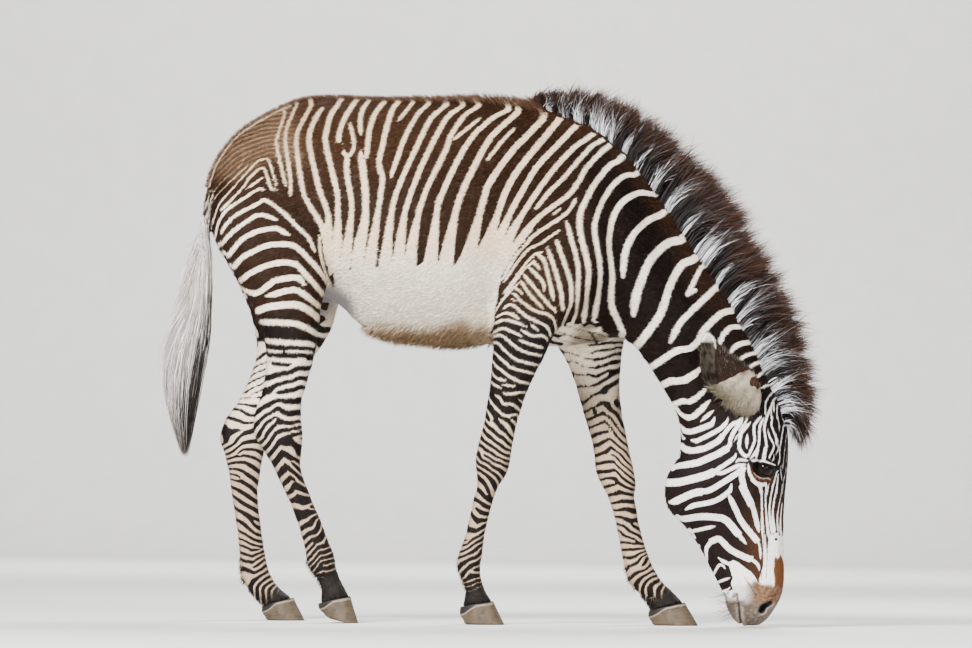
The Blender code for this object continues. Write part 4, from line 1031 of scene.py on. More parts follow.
def nearest_stripe(points, places, halves):
    """Distance inside (+) or outside (-) the nearest white stripe, in metres."""
    tree = tree_of(places)
    found = np.empty(len(points))
    for i, place in enumerate(points.tolist()):
        best = -1.0
        for _, index, distance in tree.find_n(place, 2):
            best = max(best, halves[index] - distance)
        found[i] = best
    return found


def leg_bands(name, points):
    """How far inside the white (+) or the dark (-) bands of one leg each point lies."""
    z_rows, drop, bend, pair, outer, inner = np.array(LEG_BANDS[name][::-1]).T
    share, out, half, middle = leg_place(name, points)
    z = points[:, 2]
    ahead = points[:, 0] - middle
    seed = 40 + list(LEG_BANDS).index(name)
    height = z + np.interp(z, z_rows, drop) * ahead - np.interp(z, z_rows, bend) * np.abs(ahead)
    height = height + 0.0026 * ripple(points, 0.05, seed) + 0.0015 * ripple(points, 0.02, seed + 10)
    levels = np.linspace(0.0, 0.85, 600)
    pairs = np.interp(levels, z_rows, pair) * 0.001
    turns = np.concatenate([[0], np.cumsum((levels[1] - levels[0]) / pairs)[:-1]])
    turn = np.interp(height, levels, turns)
    rng = np.random.default_rng(seed)
    for i, level in enumerate(np.linspace(0.12, 0.66, 9) + rng.uniform(-0.02, 0.02, 9)):
        across = rng.uniform(-0.8, 0.8) * np.interp(level, *LEG_TABLES[name].T[[0, 3]])
        place = np.interp(level, *LEG_TABLES[name].T[[0, 1]]) * 0.5
        place = place + np.interp(level, *LEG_TABLES[name].T[[0, 2]]) * 0.5 + across
        turn = turn + (-1) ** i * np.arctan2(z - level, points[:, 0] - place) / (2 * math.pi)
    white = np.interp(z, z_rows, outer)
    inside = ramp(0.25, -0.55, out / half)
    inner = np.interp(z, z_rows, inner)
    ahead_of_it = ramp(0.7, 0.25, share + 0.1 * ripple(points, 0.05, seed + 30))
    inner = inner - 0.36 * ahead_of_it * ramp(0.6, 0.75, inner)
    white = white + (inner - white) * inside
    white = white + 0.2 * (ramp(0.35, 0.95, share) - 0.35) * ramp(0.12, 0.17, z) * ramp(0.37, 0.33, z)
    white = white + 0.04 * ripple(points, 0.07, seed + 20)
    off = np.abs(turn - np.round(turn))
    return (white / 2 - off) * np.interp(height, levels, pairs)


def trunk_white(points, normals, mark):
    """The stripes of the body with the white belly, groin and brisket and the dark dorsal line."""
    x, out, z = side_view(points)
    wavy = 0.004 * ripple(points, 0.03, 21)
    belly = least(BELLY_TOP + 0.008 * ripple(points, 0.02, 28) - z, z - 0.655,
                  edge_at(z, BELLY_FRONT) + 0.5 * wavy - x, x - edge_at(z, BELLY_REAR) + 0.5 * wavy)
    groin = least(0.075 - out + wavy, 0.84 - z + wavy, z - 0.755, x + 0.6, -0.3 - x)
    brisket = edge_at(x, BRISKET_TOP) + 0.007 * ripple(points, 0.013, 29) - z
    chest = least(brisket, x - 0.118, 0.33 - x, 0.09 - points[:, 1])
    below = np.where(x < 0.14, 0.7 - z, brisket)
    between = least(0.05 - out + wavy, below, x + 0.03, 0.3 - x)
    croup = least(out - 0.02, 0.036 - out, -0.5 - x, z - 1.02)
    turn = (z - 0.9 * out) / REAR_BAND
    rear = least(0.005 - REAR_BAND * np.abs(turn - np.round(turn)), 0.08 - out, z - 0.74, 1.0 - z,
                 -0.5 * normals[:, 0] - 0.3, -0.58 - x)
    body = most(mark, belly, groin, chest, between, croup, rear)
    line = np.minimum(np.where(x < 0.62, 0.016 - out, -1.0), (normals[:, 2] - 0.25) * 0.05)
    return np.where((z > 0.9) & (x < 0.28), np.minimum(body, -line - 0.002), body)


def lid_skin(points):
    """How far inside (+) the black skin round the eye a point lies, in side view."""
    x, z = points[:, 0], points[:, 2]
    inside = least(edge_at(x, LID_TOP) - z, z - edge_at(x, LID_FOOT), x - 0.594, 0.66 - x)
    return np.where(np.abs(points[:, 1]) > FACE_SIDE, inside, -1.0)


def face_white(points, mark):
    """The face: white below the stripes of the nose and round the snout, black lids."""
    x, z = points[:, 0], points[:, 2]
    beside = np.abs(points[:, 1]) > FACE_SIDE
    wavy = 0.0016 * ripple(points, 0.011, 24)
    below = 0.221 + 0.011 * ripple(points, 0.01, 27) - z
    nose = np.minimum(below, x - edge_at(z, NOSE_REAR) + 0.5 * wavy)
    snout = np.minimum(edge_at(x, SNOUT_TOP) - z + wavy, x - edge_at(z, SNOUT_REAR) + wavy)
    under_lid = 0.004 - line_distance(x, z, LID_RIM + (0.001, -0.006))
    black = np.maximum(lid_skin(points), np.where(beside, under_lid, -1))
    rim = 0.0013 - line_distance(x, z, LID_RIM)
    return np.maximum(np.minimum(most(mark, nose, snout), -black), np.where(beside, rim, -1.0))


def markings(points, normals, tree):
    """How far inside the white (+) or the dark (-) each point lies, in metres."""
    mark = nearest_stripe(points, *stroke_places(tree))
    body = trunk_white(points, normals, mark)
    z = points[:, 2] + 0.005 * ripple(points, 0.03, 23)
    for name in LEG_ROWS:
        weight = leg_weight(name, points)
        _, out, half, _ = leg_place(name, points)
        low, high = (-0.4, -0.8) if "right" in name else (2.0, 1.5)
        outside, inside = BANDS_FROM[name[:4]]
        start = outside + (inside - outside) * ramp(low, high, out / half)
        weight = weight * ramp(start + 0.01, start - 0.008, z)
        near = weight > 0
        body[near] = blend(body[near], leg_bands(name, points[near]), weight[near])
    face = head_weight(points) > 0.5
    body[face] = face_white(points[face], mark[face])
    for half, *flat in STROKES["dark"]:
        far = line_distance(points[:, 0], points[:, 2], xz(*flat))
        body = np.minimum(body, far - half * 0.001)
    return body


def face_colours(points, dark, light):
    """Rust on the nose, mottled border, grey muzzle, pale lips, dark lids, and painted shade in the
    nostrils and along the mouth line.
    """
    x, out, z = side_view(points)
    face = head_weight(points)
    grain, fine = ripple(points, 0.01, 35), ripple(points, 0.005, 36)
    beside = face * (out > FACE_SIDE)
    mouth, slit, rim = (line_distance(x, z, line) for line in (MOUTH, NOSTRIL, LID_RIM))
    rust = least(x - edge_at(z, RUST_REAR), edge_at(z, RUST_FRONT) - x, edge_at(x, RUST_TOP) - z,
                 z - 0.06) + 0.0012 * fine
    border = face * ramp(0.096, 0.084, z + 0.22 * np.abs(x - 0.603) - 0.018 + 0.003 * grain)
    border = border * ramp(0.545, 0.556, x) * (0.3 + 0.7 * ramp(0.572, 0.606, x))
    muzzle = face * ramp(0.068, 0.05, z + 0.12 * (x - 0.6) + 0.003 * grain)
    chin = face * ramp(0.566, 0.56, x) * ramp(0.086, 0.078, z)
    wing = bell(slit - 0.0085, 0.0026) * ramp(0.05, 0.04, z - 0.8 * (x - 0.632))
    corner = bell(line_distance(x, z, xz(641, 74, 650, 77)), 0.0035)
    # Painted shade: the hollow of each nostril is painted black, for the shade in its opening.
    nostril_shade = face * bell(slit, nostril_width(z))
    lids = face * ramp(-0.003, 0.0, lid_skin(points))
    mottle = layers(MOTTLE_TAN, (MOTTLE_DARK, ramp(-0.2, 1.0, fine + 0.5 * grain)),
                    (GREY_MUZZLE, 0.8 * ramp(0.612, 0.572, x + 0.01 * grain)))
    dark = layers(
        dark, (DARK_FACE, face), (RUST_DARK, face * ramp(0.36, 0.2, z) * ramp(0.555, 0.612, x)),
        (LID_BROWN, bell(rim, 0.012) * beside), (BLACK_SKIN_AND_SHADE, lids))
    light = layers(
        light, (LIGHT_FACE, face), (RUST, face * ramp(-0.0012, 0.002, rust)), (mottle, border),
        (GREY_MUZZLE, muzzle), (PALE_MUZZLE, muzzle * 0.5 * ramp(0.0, 0.9, fine + 0.4 * grain)),
        (MOTTLE_DARK, chin * 0.7 * ramp(0.0, 0.6, grain + 0.5 * fine)),
        (LIP_PALE, 0.75 * face * bell(mouth - 0.006, 0.004) * ramp(0.06, 0.045, z)),
        # Painted shade: a dark line along the mouth, in the groove between the lips.
        (MOUTH_LINE_SHADE, 0.75 * bell(mouth, 0.002) * face * ramp(0.085, 0.078, z)),
        (LIP_PALE, 0.8 * face * wing), (BLACK_SKIN_AND_SHADE, ramp(0.28, 0.6, nostril_shade)),
        (NOSTRIL_BROWN, 0.8 * face * corner), (LID_PINK, beside * ramp(0.0024, 0.0012, rim)))
    return dark, light, most(muzzle, 0.5 * border, nostril_shade, lids)


def coat_colours(points, normals):
    """The dark and the light colour of the coat at each point, and how bare the skin is."""
    x, out, z = side_view(points)
    face = head_weight(points)
    weights = {name: leg_weight(name, points) for name in LEG_ROWS}
    legs = np.max(list(weights.values()), axis=0)
    neck = ramp(0.1, 0.3, x) * (1 - face) * (1 - legs)
    patch = ripple(points, 0.11, 31)
    rump = ramp(1.025, 1.085, z + 0.02 * patch) * ramp(-0.45, -0.53, x + 0.02 * patch)
    ring = np.hypot(x + 0.5, z - 0.88) + 0.002 * ripple(points, 0.05, 38)
    ring = np.sin(ring * 2 * math.pi / RUMP_LINES)
    crest = ramp(0.06, 0.02, out) * ramp(0.55, 0.9, z) * ramp(-0.05, 0.15, x)
    dark = layers(
        np.tile(np.array(DARK_TRUNK), (len(points), 1)),
        # The tan on the top of the rump is partly its own colour, partly painted sunlight.
        # Up the back the dark is lighter and browner: partly brown hair, partly painted sunlight on the
        # upper side.
        (DARK_BACK_BROWN_AND_LIT, 0.8 * ramp(0.95, 1.16, z + 0.04 * patch) * ramp(0.1, -0.3, x)), (TAN_RUMP_AND_SUNLIGHT, rump),
        (TAN_LINE, 0.65 * rump * ramp(0.1, 0.8, ring) * ramp(0.018, 0.03, out)),
        (DARK_NECK, neck), (DARK_BACK_BROWN_AND_LIT, 0.5 * crest), (DARK_LEG, legs))
    under = ramp(0.05, 0.0, x) * ramp(-0.44, -0.38, x)
    # Painted shade: the brisket's white, under the chest, is darkened as the shade there.
    chest = ramp(0.118, 0.13, x) * ramp(0.325, 0.3, x)
    chest = chest * ramp(0.004, -0.004, z - edge_at(x, BRISKET_TOP))
    # Painted highlight: a line along the crest of one brisket fold keeps the neck's white.
    fold_highlight = chest * bell(np.abs(z - 0.694 + 0.05 * (x - 0.23)), 0.004) * bell(x - 0.232, 0.022)
    # Painted shade: between the hind legs the white is greyed as the shade there; the same mask makes the
    # skin partly bare.
    groin = ramp(0.1, 0.05, out) * ramp(0.86, 0.8, z) * ramp(-0.33, -0.37, x) * ramp(-0.7, -0.62, x)
    light = layers(
        np.tile(np.array(LIGHT_TRUNK), (len(points), 1)), (LIGHT_NECK, neck),
        (LIGHT_HAUNCH, ramp(-0.4, -0.48, x) * ramp(1.02, 0.92, z)),
        (LIGHT_RUMP, ramp(0.98, 1.12, z + 0.03 * patch) * ramp(-0.36, -0.54, x)),
        (LIGHT_BELLY, 0.8 * under * ramp(0.9, 0.82, z) * (1 - legs)),
        (BRISKET_PAINTED_SHADE, chest), (LIGHT_NECK, fold_highlight), (GROIN_PAINTED_SHADE, groin * (1 - ramp(0.6, 0.52, z))),
        # Painted shade: the white of the lower legs is darkened as the shade on them.
        (LIGHT_LEG, legs * ramp(0.5, 0.66, z)), (SHIN_PAINTED_SHADE, legs * ramp(0.56, 0.34, z)),
        # Painted shade: a brownish band along the bottom of the belly, for its underside in shade.
        (BELLY_UNDERSIDE_SHADE, 0.85 * under * ramp(0.712, 0.674, z + 0.014 * patch)
         * (1 - legs * ramp(0.05, 0.08, out))))
    dark, light, bare = face_colours(points, dark, light)
    for name, weight in weights.items():
        _, _, _, middle = leg_place(name, points)
        foot = weight * ramp(0.008, -0.008, z - 0.45 * (x - middle) - FOOT_TOP[name])
        dark, light = mix(dark, GREY_FOOT, foot), mix(light, GREY_FOOT, foot)
    tail = ramp(-0.68, -0.695, x) * ramp(1.02, 0.98, z)
    return mix(dark, TAIL_DARK, tail), mix(light, TAIL_GREY, tail), np.maximum(bare, 0.8 * groin)


# Colours, as linear red, green and blue.
# The dark of the back is partly painted sunlight.
DARK_TRUNK, DARK_BACK_BROWN_AND_LIT, DARK_NECK = (0.034, 0.0165, 0.009), (0.064, 0.031, 0.0155), (0.014, 0.008, 0.0065)
DARK_LEG, DARK_FACE, RUST_DARK = (0.012, 0.008, 0.007), (0.016, 0.009, 0.008), (0.066, 0.029, 0.014)
LIGHT_TRUNK, LIGHT_NECK, LIGHT_RUMP = (0.74, 0.61, 0.45), (0.88, 0.81, 0.71), (0.5, 0.38, 0.26)
# The belly's lowest band is painted shade.
# The brisket's colour is its white hair darkened as painted shade.
LIGHT_BELLY, BELLY_UNDERSIDE_SHADE, BRISKET_PAINTED_SHADE = (0.7, 0.65, 0.57), (0.215, 0.135, 0.066), (0.3, 0.25, 0.185)
# The groin's grey is painted shade on white hair.
# The lower legs' white is darkened as painted shade.
GROIN_PAINTED_SHADE, LIGHT_LEG, SHIN_PAINTED_SHADE = (0.27, 0.26, 0.27), (0.78, 0.69, 0.57), (0.47, 0.36, 0.255)
LIGHT_FACE, RUST, GREY_MUZZLE = (0.86, 0.84, 0.81), (0.155, 0.064, 0.027), (0.125, 0.103, 0.085)
# The black is the lids' own skin, and painted shade in the nostrils.
# The dark of the mouth line is painted shade.
PALE_MUZZLE, MOUTH_LINE_SHADE, BLACK_SKIN_AND_SHADE = (0.27, 0.23, 0.19), (0.035, 0.027, 0.023), (0.006, 0.005, 0.005)
MOTTLE_TAN, MOTTLE_DARK, LIP_PALE = (0.2, 0.122, 0.076), (0.11, 0.058, 0.035), (0.34, 0.295, 0.255)
LID_BROWN, LID_PINK, NOSTRIL_BROWN = (0.085, 0.04, 0.022), (0.42, 0.28, 0.22), (0.06, 0.034, 0.024)
GREY_FOOT, TAIL_GREY, TAIL_DARK = (0.023, 0.019, 0.017), (0.52, 0.47, 0.4), (0.05, 0.042, 0.037)
# The rump's tan is partly painted sunlight.
TAN_RUMP_AND_SUNLIGHT, TAN_LINE, LIGHT_HAUNCH = (0.115, 0.068, 0.04), (0.27, 0.19, 0.125), (0.84, 0.75, 0.62)


# ------------------------- Eyes and hooves --------------------------

def eyeball(side, settings):
    """A wet dark eye with a bulged cornea and a level pupil, looking out to its side."""
    rings, spokes = 56, 72
    middle = np.array([EYE_CENTRE[0], side * EYE_OUT, EYE_CENTRE[1]])
    turn = np.repeat(np.linspace(0.0, math.pi, rings), spokes)
    spin = np.tile(np.arange(spokes) * 2 * math.pi / spokes, rings)
    look = unit(np.array([0.1, side * 1.0, -0.02]))
    level = unit(np.array([1.0, 0.0, -0.12]) - look * (np.array([1.0, 0.0, -0.12]) @ look))
    upright = np.cross(look, level)
    flat = np.sin(turn) * EYE_RADIUS
    bulge = 0.0011 * bell(flat, 0.01) * (turn < 1.3)
    points = (middle + look * (np.cos(turn) * (EYE_RADIUS - 0.0006) + bulge)[:, None]
              + level * (flat * np.cos(spin))[:, None] + upright * (flat * np.sin(spin))[:, None])
    shown, faces = tube(points.reshape(rings, spokes, 3), closed_ends=False)
    mesh = mesh_of("eye_" + dict(SIDES)[side], shown, faces)
    across, tall = flat * np.cos(spin), flat * np.sin(spin)
    far = np.where(turn < 1.4, np.hypot(across, tall * 1.12), 1.0)
    pupil = ramp(1.1, 0.9, np.hypot(across / 0.0074, tall / 0.0046)) * (turn < 1.4)
    colour = np.tile(np.array(settings.iris), (len(shown), 1))
    rays = 0.5 + 0.5 * np.sin(spin * 37 + 3 * np.sin(spin * 5))
    colour = colour * (0.65 + 0.5 * rays * ramp(0.004, 0.012, far))[:, None]
    colour = mix(colour, (0.004, 0.003, 0.003), pupil)
    colour = mix(colour, (0.02, 0.012, 0.009), ramp(0.0128, 0.0145, far))
    put_colour(mesh, "shade", colour)
    mesh.shade_smooth()
    return mesh


def hoof_mesh(name):
    """A hoof wall with growth rings, a soft coronet and a flat sole."""
    *edges, middle = HOOVES[name]
    coronet_toe, coronet_heel, toe, heel = xz(*edges)
    middle = middle * 0.001 * LEG_ROWS[name][1]
    sides, levels = 88, 30
    rings, height = [], []
    angle = 2 * math.pi * np.arange(sides) / sides
    along = (1 - np.cos(angle)) / 2
    for level in range(levels + 1):
        share = level / levels
        front, back = blend(coronet_toe, toe, share), blend(coronet_heel, heel, share)
        half = blend(HOOF_TOP_HALF, HOOF_SOLE_HALF, share)
        swell = 0.001 * math.exp(-((share - 0.07) / 0.07) ** 2)
        swell += 0.00016 * math.sin(share * 58) * min(1.0, share * 4)
        swell -= 0.0016 * max(0.0, share - 0.93) / 0.07
        bulb = 0.0045 * math.sin(math.pi * min(1.0, share / 0.75))
        bulb = bulb - 0.005 * float(ramp(0.8, 1.0, share)) ** 2
        back = back - unit(front - back) * bulb
        front = front + unit(front - (front + back) / 2) * swell
        back = back - unit(front - back) * swell
        out = (half + swell) * np.sin(angle) * (1.0 - 0.22 * along ** 2)
        x, z = blend(front[0], back[0], along), blend(front[1], back[1], along)
        notch = 0.0022 * bell(along - 1.0, 0.05) * ramp(0.3, 0.9, share)
        rings.append(columns(x + notch, middle + out, np.maximum(z, 0.0)))
        height.append(share - 0.36 * ramp(0.5, 1.0, along) - 0.02)
    points, faces = tube(rings)
    mesh = mesh_of("hoof_" + name, points, faces)
    put_number(mesh, "down", np.concatenate(height))
    mesh.shade_smooth()
    mesh.set_sharp_from_angle(angle=math.radians(52))
    return mesh


# ----------------------------- Finishes -----------------------------

class Finish:
    """A material, with short ways to add and join its nodes."""

    def __init__(self, name, rough, specular, sheen=0.0):
        self.material = bpy.data.materials.new(name)
        self.material.use_nodes = True
        self.tree = self.material.node_tree
        self.shader = self.tree.nodes["Principled BSDF"]
        self.give(self.shader, {"Roughness": rough, "Specular IOR Level": specular,
                                "Sheen Weight": sheen, "Sheen Roughness": 0.5})

    def give(self, node, values):
        """Sets a node's sockets to numbers and colours, or joins them to other nodes' outputs."""
        for key, value in values.items():
            if isinstance(value, bpy.types.NodeSocket):
                self.tree.links.new(value, node.inputs[key])
            else:
                wide = isinstance(value, tuple) and node.inputs[key].type == "RGBA"
                node.inputs[key].default_value = (*value, 1.0) if wide else value

    def add(self, kind, output, values, **settings):
        node = self.tree.nodes.new("ShaderNode" + kind)
        for key, value in settings.items():
            setattr(node, key, value)
        self.give(node, values)
        return node.outputs[output]

    def sum(self, first, second):
        return self.add("Math", 0, {0: first, 1: second}, operation="ADD")

    def product(self, first, second):
        return self.add("Math", 0, {0: first, 1: second}, operation="MULTIPLY")

    def rest(self, share):
        return self.add("Math", 0, {0: 1.0, 1: share}, operation="SUBTRACT")

    def spread(self, value, low, high, to_low=0.0, to_high=1.0):
        return self.add("MapRange", "Result", {"Value": value, "From Min": low, "From Max": high,
                                               "To Min": to_low, "To Max": to_high})

    def mix(self, share, first, second, how="MIX"):
        return self.add("Mix", 2, {0: share, 6: first, 7: second}, data_type="RGBA", blend_type=how)

    def toned(self, colour, grain, low, high, darkest, lightest):
        """The colour times a tone that goes from darkest to lightest with the grain."""
        tone = self.mix(self.spread(grain, low, high), darkest, lightest)
        return self.mix(1.0, colour, tone, "MULTIPLY")

    def place(self):
        return self.add("TexCoord", "Object", {})

    def grain(self, scale, stretch=(1.0, 1.0, 1.0), detail=3.0):
        """Noise in bumps per metre, drawn out by stretch."""
        where = self.add("Mapping", 0, {"Vector": self.place(), "Scale": stretch})
        return self.add("TexNoise", "Fac", {"Vector": where, "Scale": scale, "Detail": detail,
                                            "Roughness": 0.55})

    def stored(self, name, output="Fac"):
        return self.add("Attribute", output, {}, attribute_name=name)

    def bump(self, height, strength, distance):
        normal = self.add("Bump", 0, {"Height": height, "Strength": strength, "Distance": distance})
        self.give(self.shader, {"Normal": normal})


def coat_finish():
    """Short hair over skin: the two colours part along the mark, with streaks along the hair."""
    coat = Finish("short_coat", 0.62, 0.2, 0.03)
    bare, down = coat.stored("bare"), coat.stored("down")
    haired, level = (coat.rest(share) for share in (bare, down))
    streak = coat.sum(coat.product(coat.grain(1.0, (800.0, 800.0, 110.0)), down),
                      coat.product(coat.grain(1.0, (90.0, 700.0, 700.0)), level))
    jag = coat.product(coat.sum(streak, -0.5), 0.0032)
    share = coat.spread(coat.sum(coat.stored("mark"), jag), -0.0005, 0.0005)
    dark, light = coat.stored("dark", "Color"), coat.stored("light", "Color")
    dark = coat.toned(dark, streak, 0.3, 0.75, (0.62, 0.6, 0.58), (1.5, 1.42, 1.36))
    light = coat.toned(light, streak, 0.25, 0.6, (0.74, 0.7, 0.65), (1.02,) * 3)
    colour = coat.mix(share, dark, light)
    colour = coat.toned(colour, coat.grain(24.0), 0.3, 0.7, (0.9, 0.89, 0.87), (1.06, 1.05, 1.05))
    cells = coat.add("TexVoronoi", "Distance", {"Vector": coat.place(), "Scale": 420.0})
    coat.bump(coat.sum(coat.product(streak, haired), coat.product(coat.product(cells, bare), 0.35)),
              0.45, 0.0022)
    coat.give(coat.shader, {"Base Color": colour, "Roughness": coat.spread(bare, 0.0, 1.0, 0.64, 0.47)})
    return coat.material


def shaded_finish(name, rough, specular, contrast, scale=260.0):
    """A surface whose colour is stored with it, with lighter and darker grain."""
    found = Finish(name, rough, specular)
    colour = found.toned(found.stored("shade", "Color"), found.grain(scale), 0.3, 0.7,
                         (1 - contrast,) * 3, (1 + contrast,) * 3)
    found.give(found.shader, {"Base Color": colour})
    return found.material


def hoof_finish(settings):
    hoof = Finish("hoof_horn", 0.52, 0.35)
    fibre, cloud = hoof.grain(1.0, (260.0, 260.0, 18.0)), hoof.grain(42.0)
    waver = hoof.sum(hoof.stored("down"), hoof.product(hoof.sum(cloud, -0.5), 0.09))
    rings = hoof.add("Math", 0, {0: hoof.product(waver, 40.0)}, operation="SINE")
    colour = hoof.toned(tuple(settings.horn), fibre, 0.3, 0.7, (0.92,) * 3, (1.06, 1.06, 1.05))
    # Each layer lies where its value goes from low to high: clouds, rings, the pale coronet, the
    # dark hair line above it and the worn edge at the ground.
    for value, low, high, share, over in (
            (cloud, 0.46, 0.66, 0.75, (0.055, 0.043, 0.034)),
            (rings, 0.4, 1.0, 0.1, (0.17, 0.135, 0.098)),
            (waver, 0.13, 0.07, 1.0, tuple(settings.coronet)),
            (waver, 0.035, 0.0, 1.0, (0.03, 0.025, 0.022)),
            (waver, 0.9, 1.0, 0.6, (0.1, 0.085, 0.07))):
        colour = hoof.mix(hoof.spread(value, low, high, 0.0, share), colour, over)
    hoof.bump(hoof.sum(hoof.product(rings, 0.12), fibre), 0.35, 0.0012)
    hoof.give(hoof.shader, {"Base Color": colour, "Roughness": hoof.spread(cloud, 0.3, 0.7, 0.42, 0.62)})
    return hoof.material


def paint_finish(name, colour, rough):
    paint = Finish(name, rough, 0.3)
    colour = paint.toned(tuple(colour), paint.grain(6.0, detail=5.0), 0.3, 0.7, (0.975,) * 3, (1.02,) * 3)
    paint.give(paint.shader, {"Base Color": colour})
    return paint.material


# -------------------- Hair: thin pointed ribbons --------------------

SKIN = {}          # arrays of the finished skin, in the drawing's place, kept by the skin's operator
# Where each region's unwrapped skin lies in the unit square: left, low, width, height.
UNWRAP = {
    "trunk": (0.01, 0.01, 0.6, 0.46), "neck": (0.01, 0.49, 0.4, 0.34), "head": (0.43, 0.49, 0.3, 0.34),
    "fore_right": (0.63, 0.01, 0.17, 0.22), "fore_left": (0.82, 0.01, 0.17, 0.22),
    "hind_right": (0.63, 0.25, 0.17, 0.22), "hind_left": (0.82, 0.25, 0.17, 0.22),
    "tail": (0.76, 0.49, 0.1, 0.22), "mane": (0.01, 0.86, 0.98, 0.13),
}


def unwrap(points):
    """Each point's place on the unwrapped skin: round its region's axis, and along it."""
    found = np.zeros((len(points), 2))
    x, y, z = points.T
    head = head_weight(points) > 0.5
    neck = ~head & ((x - 0.25) * 0.76 - (z - 0.9) * 0.25 > 0)
    regions = [("trunk", ~head & ~neck, np.arctan2(y, 0.93 - z), (x + 0.74) / 1.1),
               ("neck", neck, np.arctan2(y, (x - 0.33) * 0.7 + (z - 0.8) * 0.5), (x + 1.15 - z) / 1.4),
               ("head", head, np.arctan2(y, 0.545 + 0.05 * (z - 0.2) - x), z / 0.62)]
    for name in LEG_ROWS:
        _, out, _, middle = leg_place(name, points)
        regions.append((name, leg_weight(name, points) > 0.5, np.arctan2(out, x - middle), z / 0.8))
    regions.append(("tail", (x < -0.684) & (z < 1.0), np.arctan2(y, x + 0.705), (z - 0.35) / 0.68))
    for name, here, turn, along in regions:
        left, low, wide, tall = UNWRAP[name]
        place = (left + wide * (0.5 + turn / (2 * math.pi)), low + tall * np.clip(along, 0, 1))
        found[here] = np.stack(place, axis=1)[here]
    return found


def ribbons(name, path, across, width, colour, patch):
    """Pointed ribbons. path and colour have one row more than width, and the last row is the tip."""
    count, rows = width.shape
    half = across[:, None, :] * (width[:, :, None] / 2)
    pairs = np.stack([path[:, :rows] - half, path[:, :rows] + half], axis=2)
    points = np.concatenate([pairs.reshape(count, rows * 2, 3), path[:, rows:]], axis=1)
    per = rows * 2 + 1
    order = []
    for i in range(rows - 1):
        order += [2 * i, 2 * i + 1, 2 * i + 3, 2 * i + 2]
    order += [2 * rows - 2, 2 * rows - 1, 2 * rows]
    corners = (np.arange(count)[:, None] * per + np.array(order)).ravel()
    counts = np.tile(np.array([4] * (rows - 1) + [3]), count)
    mesh = fast_mesh(name, points.reshape(-1, 3), corners, counts)
    shade = np.concatenate([np.repeat(colour[:, :rows], 2, axis=1), colour[:, rows:]], axis=1)
    put_colour(mesh, "shade", shade.reshape(-1, 3))
    spot = np.zeros((per, 2))
    spot[:, 0] = [*([-0.5, 0.5] * rows), 0.0]
    spot[:, 1] = [*np.repeat(np.arange(rows) / rows, 2), 1.0]
    spot[:, 1] -= 0.5
    place = (patch[:, None, :] + spot * BAKE_PATCH).reshape(-1, 2)
    layer = mesh.uv_layers.new(name="OFBake")
    layer.data.foreach_set("uv", place[corners].astype(np.float32).ravel())
    mesh.shade_smooth()
    return mesh


def spots_on_skin(chance, count, rng):
    """count random places on the skin, by area times chance(triangle middles, their indices)."""
    tris, points = SKIN["tris"], SKIN["points"]
    weight = SKIN["area"] * chance
    picks = np.searchsorted(np.cumsum(weight / weight.sum()), rng.random(count))
    corner = tris[np.minimum(picks, len(tris) - 1)]
    a, b = rng.random(count), rng.random(count)
    flip = a + b > 1
    a, b = np.where(flip, 1 - a, a), np.where(flip, 1 - b, b)
    share = columns(1 - a - b, a, b)[:, :, None]
    return {key: (SKIN[key][corner] * (share if SKIN[key].ndim > 1 else share[:, :, 0])).sum(axis=1)
            for key in ("points", "normals", "mark", "dark", "light", "bare")}


def mark_at(places):
    """The mark at places near the skin, from the nearest point of the skin and its slope."""
    found = np.empty(len(places), int)
    for i, place in enumerate(places.tolist()):
        found[i] = SKIN["tree"].find(place)[1]
    return SKIN["mark"][found] + (SKIN["slope"][found] * (places - SKIN["points"][found])).sum(axis=1)


def lie_of_coat(points, normals):
    """The way that the coat lies: back along the trunk, down the legs and the face."""
    x, z = points[:, 0], points[:, 2]
    way = np.tile(np.array([-0.92, 0.0, -0.38]), (len(points), 1))
    way = mix(way, (-0.9, 0.0, -0.05), ramp(0.1, 0.32, x))
    way = mix(way, (-0.25, 0.0, -0.95), ramp(-0.52, -0.66, x) * ramp(1.15, 1.0, z))
    cheek = (ramp(0.6, 0.5, x) * ramp(0.2, 0.34, z))[:, None]
    face_way = blend(np.array([-0.06, 0.0, -1.0]), np.array([-0.75, 0.0, -0.62]), cheek)
    way = mix(way, face_way, head_weight(points))
    way = mix(way, (-0.1, 0.0, -1.0), legs_weight(points))
    way = way + 0.16 * columns(ripple(points, 0.1, 61), x * 0, ripple(points, 0.1, 62))
    return unit(way - normals * (way * normals).sum(axis=1, keepdims=True))


def tones(rng, count, spread, low, high):
    """One lightness for each hair, round about 1."""
    return np.clip(rng.normal(1.0, spread, (count, 1, 1)), low, high)


